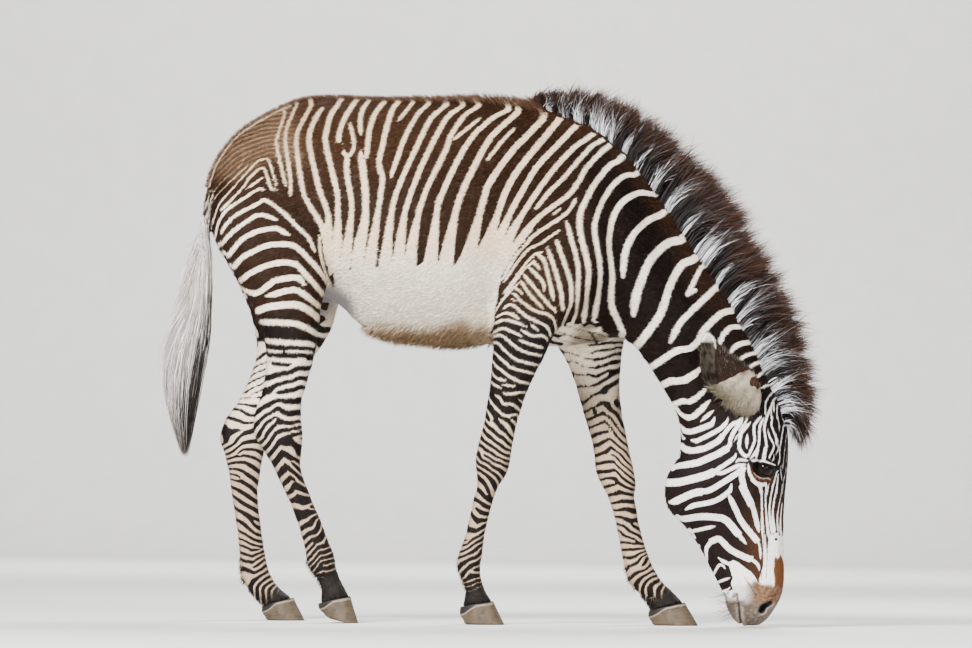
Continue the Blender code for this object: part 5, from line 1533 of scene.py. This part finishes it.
def short_coat(name, chance, count, long, wide, lift, seed):
    """Short blades of hair laid along the coat, coloured as the skin under each part of them."""
    rng = np.random.default_rng(seed)
    spots = spots_on_skin(chance, count, rng)
    keep = rng.random(count) > spots["bare"] * 1.4
    spots = {key: value[keep] for key, value in spots.items()}
    points, normals = spots["points"], unit(spots["normals"])
    count = len(points)
    lie = lie_of_coat(points, normals)
    across = unit(np.cross(normals, lie) + normals * rng.normal(0, 0.18, (count, 1)))
    lie = unit(lie + across * rng.normal(0, 0.17, (count, 1)))
    length = long(points[:, 2]) * rng.uniform(0.75, 1.25, count)
    rise = lift * rng.uniform(0.55, 1.45, count)
    stops = np.array([-0.5, 0.08, 0.62])
    height = np.array([-0.07, 0.62, 1.0])
    level = points[:, None] + lie[:, None] * (length[:, None] * stops)[:, :, None]
    path = level + normals[:, None] * (length[:, None] * rise[:, None] * height)[:, :, None]
    mark = mark_at(level.reshape(-1, 3)).reshape(count, 3)
    mark = mark + rng.normal(0, 0.0005, (count, 1))
    white = ramp(-HAIR_EDGE, HAIR_EDGE, mark)[:, :, None]
    tone = rng.normal(1.0, 0.13, (count, 1, 1))
    ends = np.array([0.8, 1.0, 1.16])[:, None]
    dark = spots["dark"][:, None] * np.clip(tone, 0.6, 1.6) * ends * 0.9
    light = spots["light"][:, None] * np.clip(0.72 + 0.28 * tone, 0.6, 1.12) * (0.86 + 0.14 * ends)
    colour = blend(dark, light, white)
    width = wide * rng.uniform(0.7, 1.3, (count, 1)) * np.array([0.75, 1.0])
    return ribbons(name, path, across, width, colour, unwrap(points))


def bent_paths(roots, middles, tips, rows):
    """Smooth bends from each root past its middle to its tip, as rows + 1 points each."""
    t = np.linspace(0, 1, rows + 1)[None, :, None]
    return roots[:, None] * (1 - t) ** 2 + 2 * middles[:, None] * t * (1 - t) + tips[:, None] * t ** 2


def mane_line():
    """Rows along the crest from withers to forehead: root on the skin, then tip."""
    rows = smooth_rows(MANE, 10) * 0.001
    found = []
    for x1, z1, x2, z2 in rows:
        tip, way = Vector((x1, 0.0, z1)), Vector((x2 - x1, 0.0, z2 - z1)).normalized()
        hit = SKIN["surface"].ray_cast(tip + way * -0.02, way)[0]
        if hit is not None:
            found.append((hit.x, hit.z, x1, z1))
    return np.array(found)


def mane_colours(rng, white, t, settings):
    """Each hair from its root to its brown end; white is 1 for the hairs of the white locks."""
    count = len(white)
    late = 0.5 + 0.15 * rng.standard_normal((count, 1, 1)) + 0.1 * white
    tone = rng.normal(1.0, 0.16, (count, 1, 1))
    light = np.array(settings.white) * np.clip(tone, 0.6, 1.3) * (1 - 0.18 * ramp(0.2, 0.7, t))
    dark = np.array(settings.black) * np.clip(tone, 0.5, 1.8)
    rust = np.array(settings.tips) * tones(rng, count, 0.25, 0.4, 1.8)
    colour = blend(blend(dark, light, white), dark, ramp(late, late + 0.22, t))
    browned = ramp(0.62, 1.0, t + 0.1 * rng.standard_normal((count, 1, 1)))
    return blend(colour, rust, browned)


def mane_mesh(name, start, end, count, seed, settings):
    """Stiff locks along the crest, white and black as the neck's stripes, with brown ends."""
    rng = np.random.default_rng(seed)
    line = mane_line()
    run = run_along(line[:, :2])
    run = run / run[-1]

    def at(share):
        return np.stack([np.interp(share, run, line[:, k]) for k in range(4)], axis=1)

    locks = int((420 if end < 0.9 else 700) * (end - start))
    lock_share = np.sort(rng.uniform(start, end, locks))
    lock_out = rng.normal(0, 0.01, locks)
    lock_long = rng.uniform(0.8, 1.06, locks)
    lock_slide = rng.normal(0, 0.02, locks)
    which = rng.integers(0, locks, count)
    share = np.clip(lock_share[which] + rng.normal(0, 0.004, count), 0, 1)
    root = at(share)
    out = np.clip(lock_out[which] + rng.normal(0, 0.006, count), -0.024, 0.024)
    roots = columns(root[:, 0], out, root[:, 1])
    roots, facing = nearest_on(SKIN["surface"], roots)
    roots = roots - 0.003 * facing
    aim = at(np.clip(lock_share[which] + lock_slide[which], 0, 1))
    tips = columns(aim[:, 2], lock_out[which] * 1.3, aim[:, 3])
    lock_mark = mark_at(columns(at(lock_share)[:, 0] - 0.012, np.full(locks, -0.034),
                                at(lock_share)[:, 1] - 0.014))
    white = ramp(-0.0042, -0.0005, lock_mark + rng.normal(0, 0.001, locks))
    white = np.where(lock_share > 0.74, (rng.random(locks) < 0.5) * 1.0, white)[which]
    white = white * (rng.random(count) > 0.22)
    long = lock_long[which] * rng.uniform(0.62, 1.05, count)
    long = long * (1 - 0.2 * white * rng.uniform(0.6, 1.2, count))
    tips = roots + (tips - roots) * long[:, None] + rng.normal(0, 0.0095, (count, 3)) * (1, 0.8, 1)
    none = np.zeros(count)
    grow = unit(columns(root[:, 2] - root[:, 0], none, root[:, 3] - root[:, 1]))
    reach = np.linalg.norm(tips - roots, axis=1, keepdims=True)
    drop = ramp(0.86, 0.97, share)[:, None]
    upright = unit(grow + np.array([-0.25, 0, 0.45]) * (1 - drop) + np.array([0.2, 0, 0.9]) * drop)
    middles = roots + upright * reach * 0.52 + columns(none, out * 0.35, none)
    path = bent_paths(roots, middles, tips, 4)
    t = np.linspace(0, 1, 5)[None]
    wave = 0.0022 * np.sin(t * 5 + rng.uniform(0, 6, (count, 1))) * t
    path[:, :, 0] += wave
    path[:, :, 1] += wave[:, ::-1] * 0.5
    colour = mane_colours(rng, white[:, None, None], t[:, :, None], settings)
    width = 0.0019 * rng.uniform(0.6, 1.3, (count, 1)) * np.array([0.9, 1.0, 0.9, 0.6])
    side_way = unit(np.cross(tips - roots, rng.normal(0, 1, (count, 3))))
    left, low, wide, tall = UNWRAP["mane"]
    patch = columns(left + wide * share, low + tall * (0.5 + out / 0.06))
    return ribbons(name, path, side_way, width, colour, patch)


# The hanging tail in millimetres: z, its rear edge and its front edge as x.
TAIL_EDGES = [(380, -748, -736), (455, -774, -724), (530, -780, -709), (604, -784, -697),
              (660, -779, -687), (722, -754, -685), (830, -742, -684), (881, -732, -687),
              (940, -713, -697), (1000, -697, -690)]


def tail_mesh(count, seed, settings):
    """Long hair from the dock, pale and full behind and above, dark in front and at the end."""
    rng = np.random.default_rng(seed)
    dock = smooth_rows(full_rows(TAIL_DOCK), 6)
    dock = dock[np.argsort(dock[:, 1])]
    top = 0.955 - 0.195 * rng.beta(1.2, 1.0, count)
    spin = rng.uniform(0, 2 * math.pi, count)
    spread = np.sqrt(rng.uniform(0.02, 1.0, count))
    fall = (0.05 + 0.44 * rng.beta(1.7, 1.5, count)) * ramp(1.02, 0.9, top) + 0.03
    bottom = np.maximum(top - fall, 0.382 + 0.05 * rng.random(count) * spread)
    t = np.linspace(0, 1, 6)[None, :]
    z = top[:, None] + (bottom - top)[:, None] * t ** 0.9
    rear, front = (edge_at(z, np.array(TAIL_EDGES)[:, [0, k]] * 0.001) for k in (1, 2))
    back, ahead, half = (np.interp(top, dock[:, 1], dock[:, k]) for k in (2, 0, 5))
    on_dock = ((back + ahead) / 2 + (ahead - back) / 2 * 1.02 * np.cos(spin))[:, None]
    settle = ramp(0.1, 0.55, t)
    wave = 0.0028 * np.sin(t * 7 + rng.uniform(0, 6, (count, 1))) * t
    flare = 0.032 * ramp(0.4, 1.0, t) * (rng.random((count, 1)) ** 2.4) * ramp(0.42, 0.58, z)
    x = (rear + front) / 2 + (front - rear) / 2 * (np.cos(spin) * spread)[:, None]
    x = blend(on_dock, x, settle) + wave - flare * ramp(0.3, -0.6, np.cos(spin))[:, None]
    y = (half * 1.02 * np.sin(spin))[:, None] * (1 - settle)
    y = y + (front - rear) * 0.42 * (np.sin(spin) * spread)[:, None] * settle + 0.6 * wave[:, ::-1]
    path = np.stack([x, y, z], axis=2)
    forward = (x - rear) / (front - rear)
    dark_share = ramp(0.42, 0.78, 0.75 * forward + 0.55 * ramp(0.7, 0.42, z) - 0.25 * ramp(0.7, 0.8, z)
                      + 0.14 * rng.standard_normal((count, 1)))
    dark_share = (dark_share * (rng.random((count, 1)) < 0.86))[:, :, None]
    tone = tones(rng, count, 0.2, 0.5, 1.5)
    light = np.array(settings.white) * (0.95, 0.9, 0.82) * tone
    dark = np.array(settings.black) * tone * 1.2
    colour = blend(light, dark, dark_share)
    tan = ramp(0.8, 1.0, t)[:, :, None] * (1 - dark_share)
    colour = colour * (1 - 0.45 * tan) + np.array(settings.tips) * 1.6 * 0.45 * tan
    width = 0.0018 * rng.uniform(0.6, 1.3, (count, 1)) * np.array([0.8, 1.0, 1.0, 0.85, 0.6])
    side_way = unit(np.cross(path[:, -1] - path[:, 0], rng.normal(0, 1, (count, 3))))
    left, low, wide, tall = UNWRAP["tail"]
    patch = columns(left + wide * spin / (2 * math.pi), low + tall * (0.955 - top) / 0.25)
    return ribbons("tail_hair", path, side_way, width, colour, patch)


def loose_hair(name, roots, normals, way, length, wide, colours, rng, rise, spread, rows=3):
    """Longer hair at given places: it rises from the skin and bends over towards way."""
    count = len(roots)
    way = unit(way + spread * rng.standard_normal((count, 3)))
    length = length * rng.uniform(0.6, 1.15, count)
    middles = roots + unit(normals * rise + way * 0.6) * (length * 0.5)[:, None]
    tips = roots + unit(normals * rise * 0.45 + way) * length[:, None]
    path = bent_paths(roots - normals * 0.001, middles, tips, rows)
    path[:, :, 2] = np.maximum(path[:, :, 2], FLOOR_GAP)
    shares = np.linspace(1.0, 0.45, rows)
    width = wide * rng.uniform(0.7, 1.3, (count, 1)) * shares
    side_way = unit(np.cross(tips - roots, normals) + 0.4 * rng.standard_normal((count, 3)))
    t = np.linspace(0, 1, rows + 1)[None, :, None]
    root_colour, tip_colour = (np.asarray(colour)[:, None] for colour in colours)
    colour = blend(root_colour, tip_colour, t) * tones(rng, count, 0.15, 0.6, 1.5)
    return ribbons(name, path, side_way, width, colour, unwrap(roots))


# ----------------------------- Settings -----------------------------

def colour_setting(name, text, value):
    return FloatVectorProperty(name=name, description=text, subtype="COLOR", size=3, min=0.0,
                               max=1.0, default=value)


def length_setting(name, text, value, low, high):
    return FloatProperty(name=name, description=text, default=value, min=low, max=high, unit="LENGTH")


class ZebraEyeSettings(bpy.types.PropertyGroup):
    iris: colour_setting("Iris", "Colour of the iris", (0.016, 0.009, 0.006))


class ZebraHoofSettings(bpy.types.PropertyGroup):
    horn: colour_setting("Horn", "Colour of the hoof wall", (0.115, 0.086, 0.058))
    coronet: colour_setting("Coronet", "Colour of the pale band at the top", (0.26, 0.21, 0.155))


class ZebraCoatSettings(bpy.types.PropertyGroup):
    amount: FloatProperty(
        name="Amount", description="Share of the full number of hairs in every piece of hair",
        default=1.0, min=0.05, max=1.0, subtype="FACTOR")
    body: length_setting("Body", "Length of the short hair on trunk and neck", 0.009, 0.002, 0.03)
    face: length_setting("Face", "Length of the short hair on the face", 0.0042, 0.001, 0.01)


class ZebraManeSettings(bpy.types.PropertyGroup):
    white: colour_setting("White", "Colour of the white locks", (0.6, 0.6, 0.62))
    black: colour_setting("Black", "Colour of the dark locks", (0.016, 0.012, 0.011))
    tips: colour_setting("Tips", "Colour of the ends", (0.085, 0.036, 0.02))


class ZebraStageSettings(bpy.types.PropertyGroup):
    floor: colour_setting("Floor", "Colour of the floor and backdrop", (0.62, 0.61, 0.595))
    height: length_setting("Camera height", "Height of the camera above the floor", 0.25, 0.05, 3.0)
    distance: length_setting("Camera distance", "Distance of the camera", 12.0, 2.0, 30.0)


def place_piece(name, mesh, material, nodes=()):
    """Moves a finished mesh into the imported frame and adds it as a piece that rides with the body."""
    move_points(mesh, read_points(mesh) + SHIFT)
    mesh.materials.clear()
    mesh.materials.append(material)
    piece = add_object(name, mesh)
    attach(piece, "root")
    if nodes:
        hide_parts(*nodes)
    return piece


def skin_with_ears():
    """The whole skin in the drawing's place, with its markings stored on it."""
    mesh = skin_mesh()
    points, normals = read_points(mesh), read_normals(mesh)
    work = bmesh.new()
    work.from_mesh(mesh)
    mark = markings(points, normals, BVHTree.FromBMesh(work))
    dark, light, bare = coat_colours(points, normals)
    fields = {"mark": [mark], "dark": [dark], "light": [light], "bare": [bare],
              "down": [np.maximum(legs_weight(points), head_weight(points))],
              "inside": [np.zeros(len(points))]}
    for side, _ in SIDES:
        ear_points, faces, to_front, inside = ear_mesh(side)
        ear = mesh_of("ear", ear_points, faces)
        work.from_mesh(ear)
        bpy.data.meshes.remove(ear)
        mark, dark, light = ear_colours(ear_points, to_front, inside)
        for name, values in (("mark", mark), ("dark", dark), ("light", light), ("inside", inside),
                             ("bare", inside * 0), ("down", inside * 0 + 1)):
            fields[name].append(values)
    work.to_mesh(mesh)
    work.free()
    SKIN.update({name: np.concatenate(values) for name, values in fields.items()})
    keep_skin(mesh, len(points))
    for name in ("mark", "bare", "down"):
        put_number(mesh, name, SKIN[name])
    for name in ("dark", "light"):
        put_colour(mesh, name, SKIN[name])
    mesh.shade_smooth()
    return mesh


def keep_skin(mesh, ear_start):
    """Stores what the hair needs to know of the skin, before it is moved into the frame."""
    mesh.calc_loop_triangles()
    tris = np.empty(len(mesh.loop_triangles) * 3, np.int32)
    mesh.loop_triangles.foreach_get("vertices", tris)
    tris = tris.reshape(-1, 3)
    points = read_points(mesh)
    first, second = points[tris[:, 1]] - points[tris[:, 0]], points[tris[:, 2]] - points[tris[:, 0]]
    cross = np.cross(first, second)
    rise = SKIN["mark"][tris]
    slope = ((rise[:, 1] - rise[:, 0])[:, None] * np.cross(second, cross)
             + (rise[:, 2] - rise[:, 0])[:, None] * np.cross(cross, first))
    slope /= np.maximum((cross ** 2).sum(axis=1, keepdims=True), 1e-16)
    total = np.stack([np.bincount(tris.ravel(), np.repeat(slope[:, axis], 3), len(points))
                      for axis in range(3)], axis=1)
    slope = total / np.maximum(np.bincount(tris.ravel(), minlength=len(points)), 1)[:, None]
    middles = points[tris].mean(axis=1)
    flesh = 1.0 * (tris[:, 0] < ear_start)
    face = flesh * head_weight(middles)
    legs = flesh * legs_weight(middles)
    SKIN.update(tris=tris, points=points, normals=read_normals(mesh), tree=tree_of(points),
                facing=unit(cross),
                slope=slope / np.maximum(np.linalg.norm(slope, axis=1, keepdims=True), 1.0),
                area=np.linalg.norm(cross, axis=1) / 2, lining=SKIN["inside"][tris[:, 0]],
                middles=middles, ears=1 - flesh, face=face, legs=legs,
                body=flesh * (1 - face) * (1 - legs),
                surface=BVHTree.FromPolygons(points.tolist(), tris.tolist()))


class OBJECT_OT_zebra_skin(bpy.types.Operator):
    """Build the skin that stands for all the flesh, with its markings"""
    bl_idname = "object.zebra_skin"
    bl_label = "Skin"

    def execute(self, context):
        mesh = skin_with_ears()
        place_piece("skin", mesh, coat_finish(), FLESH_NODES)
        return {"FINISHED"}


class OBJECT_OT_zebra_eyes(bpy.types.Operator):
    """Build both eyes in their sockets"""
    bl_idname = "object.zebra_eyes"
    bl_label = "Eyes"

    def execute(self, context):
        settings = context.scene.zebra_eyes
        finish = shaded_finish("wet_eye", 0.1, 0.2, 0.2, 900.0)
        for side, name in SIDES:
            mesh = eyeball(side, settings)
            place_piece("eyeball_" + name, mesh, finish, ["eye_" + name])
        return {"FINISHED"}


class OBJECT_OT_zebra_hooves(bpy.types.Operator):
    """Build the four hooves"""
    bl_idname = "object.zebra_hooves"
    bl_label = "Hooves"

    def execute(self, context):
        finish = hoof_finish(context.scene.zebra_hooves)
        for name in HOOVES:
            place_piece("horn_" + name, hoof_mesh(name), finish, ["hoof_" + name])
        return {"FINISHED"}


class OBJECT_OT_zebra_coat(bpy.types.Operator):
    """Lay the short coat over trunk, neck, legs and head"""
    bl_idname = "object.zebra_coat"
    bl_label = "Short coat"

    def execute(self, context):
        settings = context.scene.zebra_coat
        finish = shaded_finish("coat_hair", 0.62, 0.16, 0.22)
        x = SKIN["middles"][:, 0]
        body, legs = SKIN["body"], SKIN["legs"]

        def on_body(z):
            return z * 0 + settings.body

        def on_legs(z):
            return 0.0055 + 0.003 * ramp(0.3, 0.7, z)

        def on_head(z):
            return settings.face * (0.8 + 0.8 * ramp(0.25, 0.5, z))

        for i, (name, chance, count, long, wide, lift) in enumerate((
                ("coat_rump", body * (x < -0.27), 52000, on_body, 0.0021, 0.26),
                ("coat_barrel", body * (x >= -0.27) * (x < 0.16), 52000, on_body, 0.0021, 0.26),
                ("coat_neck", body * (x >= 0.16), 46000, on_body, 0.002, 0.26),
                ("coat_fore_legs", legs * (x > -0.2), 34000, on_legs, 0.0014, 0.2),
                ("coat_hind_legs", legs * (x <= -0.2), 36000, on_legs, 0.0014, 0.2),
                ("coat_head", SKIN["face"], 50000, on_head, 0.0011, 0.2))):
            mesh = short_coat(name, chance, int(count * settings.amount), long, wide, lift, 70 + i)
            place_piece(name, mesh, finish)
        return {"FINISHED"}


class OBJECT_OT_zebra_mane(bpy.types.Operator):
    """Stand the mane along the crest, from the withers to the forelock"""
    bl_idname = "object.zebra_mane"
    bl_label = "Mane"

    def execute(self, context):
        settings = context.scene.zebra_mane
        finish = shaded_finish("mane_fibre", 0.5, 0.35, 0.15)
        for i, (name, start, end, count, nodes) in enumerate((
                ("mane_withers", 0.0, 0.42, 15000, ("mane",)), ("mane_crest", 0.4, 0.74, 15000, ()),
                ("mane_forelock", 0.72, 1.0, 12000, ()))):
            count = int(count * context.scene.zebra_coat.amount)
            mesh = mane_mesh(name, start, end, count, 80 + i, settings)
            place_piece(name, mesh, finish, nodes)
        return {"FINISHED"}


class OBJECT_OT_zebra_tail(bpy.types.Operator):
    """Hang the long hair of the tail"""
    bl_idname = "object.zebra_tail"
    bl_label = "Tail"

    def execute(self, context):
        mesh = tail_mesh(int(14000 * context.scene.zebra_coat.amount), 90, context.scene.zebra_mane)
        finish = shaded_finish("tail_fibre", 0.48, 0.35, 0.15)
        place_piece("tail_hair", mesh, finish, ["tail_tuft"])
        return {"FINISHED"}


class OBJECT_OT_zebra_fringes(bpy.types.Operator):
    """Add the dorsal fringe, belly hair, ear wool, fetlock hair, whiskers and lashes"""
    bl_idname = "object.zebra_fringes"
    bl_label = "Fringes and whiskers"

    def execute(self, context):
        rng = np.random.default_rng(95)
        finish = shaded_finish("fringe_hair", 0.58, 0.28, 0.18)
        x, y, z = SKIN["middles"].T
        out = np.abs(y)
        body, legs, face = SKIN["body"], SKIN["legs"], SKIN["face"]

        def grow(name, chance, count, way, length, wide, ends, rise, spread, slot="coat"):
            """One piece: way and length may be worked out from the roots, ends from the skin's colour."""
            spots = spots_on_skin(chance, int(count * context.scene.zebra_coat.amount), rng)
            points, normals = spots["points"], unit(spots["normals"])
            way, length = (found(*points.T) if callable(found) else found for found in (way, length))
            under = mix(spots["dark"], spots["light"], ramp(-HAIR_EDGE, HAIR_EDGE, spots["mark"]))
            mesh = loose_hair(name, points, normals, np.broadcast_to(way, points.shape), length, wide,
                              ends(under), rng, rise, spread)
            place_piece(name, mesh, finish)

        # The fringe's roots take the back's dark, which is partly painted sunlight.
        grow("dorsal_fringe", body * (out < 0.026) * (z > 1.02) * (x < 0.1), 9000, (-0.8, 0.0, 0.4),
             lambda x, y, z: 0.012 + 0.014 * ramp(-0.35, 0.05, x), 0.0016,
             lambda c: (c * 0.4 + np.array(DARK_BACK_BROWN_AND_LIT) * 0.35, c * 0 + (0.15, 0.08, 0.05)), 1.1, 0.22)
        grow("belly_hair", body * (z < 0.7) * (x < 0.02) * (x > -0.36) * (out < 0.09), 5000,
             (-0.75, 0.0, -0.65), 0.02, 0.0016, lambda c: (c * 0.9, c * (0.75, 0.66, 0.52)), 0.35, 0.25)
        grow("coronet_hair", legs * (z < 0.075), 7000, (0.15, 0.0, -1.0), 0.011, 0.0012,
             lambda c: (c, c * 0.9), 0.3, 0.12)
        grow("fetlock_hair", legs * (z > 0.085) * (z < 0.15) * (SKIN["facing"][:, 0] < -0.6), 900,
             (-0.3, 0.0, -0.95), 0.011, 0.0011, lambda c: (c, c * 0.9), 0.35, 0.2)
        grow("whiskers", face * (z < 0.08) * (x < 0.6) * (z > 0.02), 190,
             lambda x, y, z: columns(x * 0 - 0.8, 0.5 * np.sign(y), x * 0 - 0.12),
             lambda x, y, z: 0.042 * ramp(0.61, 0.56, x) + 0.008, 0.0007,
             lambda c: (c * 0.2 + 0.01, c * 0.2 + 0.02), 0.5, 0.22)
        grow("lashes", face * (line_distance(x, z, LID_TOP) < 0.0022) * (out > 0.05), 240,
             lambda x, y, z: columns(x * 0 + 0.25, np.sign(y), x * 0 - 0.75), 0.0125, 0.0007,
             lambda c: (c * 0 + 0.012, c * 0 + 0.012), 0.6, 0.16)
        grow("ear_lining", SKIN["ears"] * SKIN["lining"], 5000, (-0.25, -0.15, 0.95), 0.016, 0.0011,
             lambda c: (c * 0.8, np.clip(c * 1.6 + 0.05, 0, 0.5)), 0.45, 0.3, "ear")
        grow("ear_wool", SKIN["ears"] * (1 - SKIN["lining"]), 17000,
             lambda x, y, z: columns(-0.45 + 0.1 * (z > 0.575) + 0.1 * (z < 0.535), x * 0,
                                     0.15 + 0.8 * (z > 0.575) - 1.1 * (z < 0.535)),
             lambda x, y, z: 0.0065 + 0.012 * ramp(0.59, 0.555, z), 0.001,
             lambda c: (c * 0.9, np.clip(c * 1.12, 0, 0.9)), 0.4, 0.34, "ear")
        return {"FINISHED"}


# The floor runs from the front to the foot of a wall, and bends up into it.
FLOOR_HALF, WALL_FOOT, WALL_BEND, WALL_TOP = 20.0, 17.0, 2.5, 14.0
# Lights: place, what they point at, size and power.
LIGHTS = {
    "key_light": ((-3.6, -6.2, 5.6), (0.0, 0.0, 0.7), 2.6, 1420.0),
    "fill_light": ((5.2, -6.0, 2.6), (0.1, 0.0, 0.6), 3.6, 290.0),
    "front_light": ((-0.5, -9.5, 1.6), (0.0, 0.0, 0.5), 3.0, 260.0),
    "backdrop_light": ((0.0, 10.0, 8.5), (0.0, 18.0, 0.5), 8.0, 1800.0),
    "rim_light": ((1.5, 3.6, 4.2), (0.1, 0.0, 0.9), 2.4, 330.0),
}
SKY_COLOUR, SKY_STRENGTH = (0.8, 0.82, 0.85, 1.0), 0.4
FILM_WIDTH = 36.0                # the camera's, in millimetres
VIEW_WIDTH = 2.294               # what the view takes in at the animal's middle plane
VIEW_MIDDLE = (-0.036, 0.707)    # x, z in the drawing
CAMERA_ROLL = 0.745              # degrees


class OBJECT_OT_zebra_stage(bpy.types.Operator):
    """Add the floor and backdrop, the lights and the camera"""
    bl_idname = "object.zebra_stage"
    bl_label = "Stage"

    def execute(self, context):
        settings = context.scene.zebra_stage
        rows = [(-FLOOR_HALF, 0.0), (WALL_FOOT, 0.0)]
        rows += [(WALL_FOOT + WALL_BEND * math.sin(a), WALL_BEND - WALL_BEND * math.cos(a))
                 for a in np.linspace(0.1, math.pi / 2, 16)]
        rows += [(WALL_FOOT + WALL_BEND, WALL_TOP)]
        points = [(x, y, z) for y, z in rows for x in (-FLOOR_HALF, FLOOR_HALF)]
        faces = [(2 * i, 2 * i + 1, 2 * i + 3, 2 * i + 2) for i in range(len(rows) - 1)]
        mesh = mesh_of("floor", points, faces)
        mesh.shade_smooth()
        mesh.materials.append(paint_finish("floor_paint", settings.floor, 0.75))
        floor = add_object("floor", mesh)
        for name, (place, aim, size, power) in LIGHTS.items():
            light = bpy.data.lights.new(name, "AREA")
            light.shape = "DISK"
            light.size = size
            light.energy = power
            lamp = bpy.data.objects.new(name, light)
            lamp.location = place
            lamp.rotation_euler = (Vector(aim) - Vector(place)).to_track_quat("-Z", "Y").to_euler()
            context.scene.collection.objects.link(lamp)
        world = bpy.data.worlds.new("studio")
        world.use_nodes = True
        sky = world.node_tree.nodes["Background"].inputs
        sky["Color"].default_value = SKY_COLOUR
        sky["Strength"].default_value = SKY_STRENGTH
        context.scene.world = world
        context.scene.view_settings.look = "AgX - Medium High Contrast"
        camera = bpy.data.cameras.new("camera")
        camera.sensor_width = FILM_WIDTH
        camera.lens = FILM_WIDTH * settings.distance / VIEW_WIDTH
        eye = bpy.data.objects.new("camera", camera)
        aim = Vector((VIEW_MIDDLE[0] + float(SHIFT[0]), 0.0, VIEW_MIDDLE[1]))
        eye.location = (aim.x, -settings.distance, settings.height)
        facing = (aim - eye.location).to_track_quat("-Z", "Y")
        roll = Quaternion((0.0, 0.0, 1.0), math.radians(CAMERA_ROLL))
        eye.rotation_euler = (facing @ roll).to_euler()
        context.scene.collection.objects.link(eye)
        context.scene.camera = eye
        return {"FINISHED"}


class VIEW3D_PT_zebra(bpy.types.Panel):
    """The zebra's pieces and their settings"""
    bl_label = "Zebra"
    bl_idname = "VIEW3D_PT_zebra"
    bl_space_type = "VIEW_3D"
    bl_region_type = "UI"
    bl_category = "Zebra"

    def draw(self, context):
        for group in SETTINGS:
            box = self.layout.box()
            for field in SETTINGS[group].__annotations__:
                box.prop(getattr(context.scene, group), field)
        for operator in OPERATORS:
            self.layout.operator(operator.bl_idname)


SETTINGS = {
    "zebra_eyes": ZebraEyeSettings,
    "zebra_hooves": ZebraHoofSettings,
    "zebra_coat": ZebraCoatSettings,
    "zebra_mane": ZebraManeSettings,
    "zebra_stage": ZebraStageSettings,
}
OPERATORS = [OBJECT_OT_zebra_skin, OBJECT_OT_zebra_eyes, OBJECT_OT_zebra_hooves, OBJECT_OT_zebra_coat,
             OBJECT_OT_zebra_mane, OBJECT_OT_zebra_tail, OBJECT_OT_zebra_fringes, OBJECT_OT_zebra_stage]


def register():
    for found in (*SETTINGS.values(), *OPERATORS, VIEW3D_PT_zebra):
        bpy.utils.register_class(found)
    for group, found in SETTINGS.items():
        setattr(bpy.types.Scene, group, PointerProperty(type=found))


def unregister():
    for group in SETTINGS:
        delattr(bpy.types.Scene, group)
    for found in (VIEW3D_PT_zebra, *reversed(OPERATORS), *SETTINGS.values()):
        bpy.utils.unregister_class(found)


def main():
    register()
    for operator in OPERATORS:
        group, name = operator.bl_idname.split(".")
        getattr(getattr(bpy.ops, group), name)()


if __name__ == "__main__":
    main()
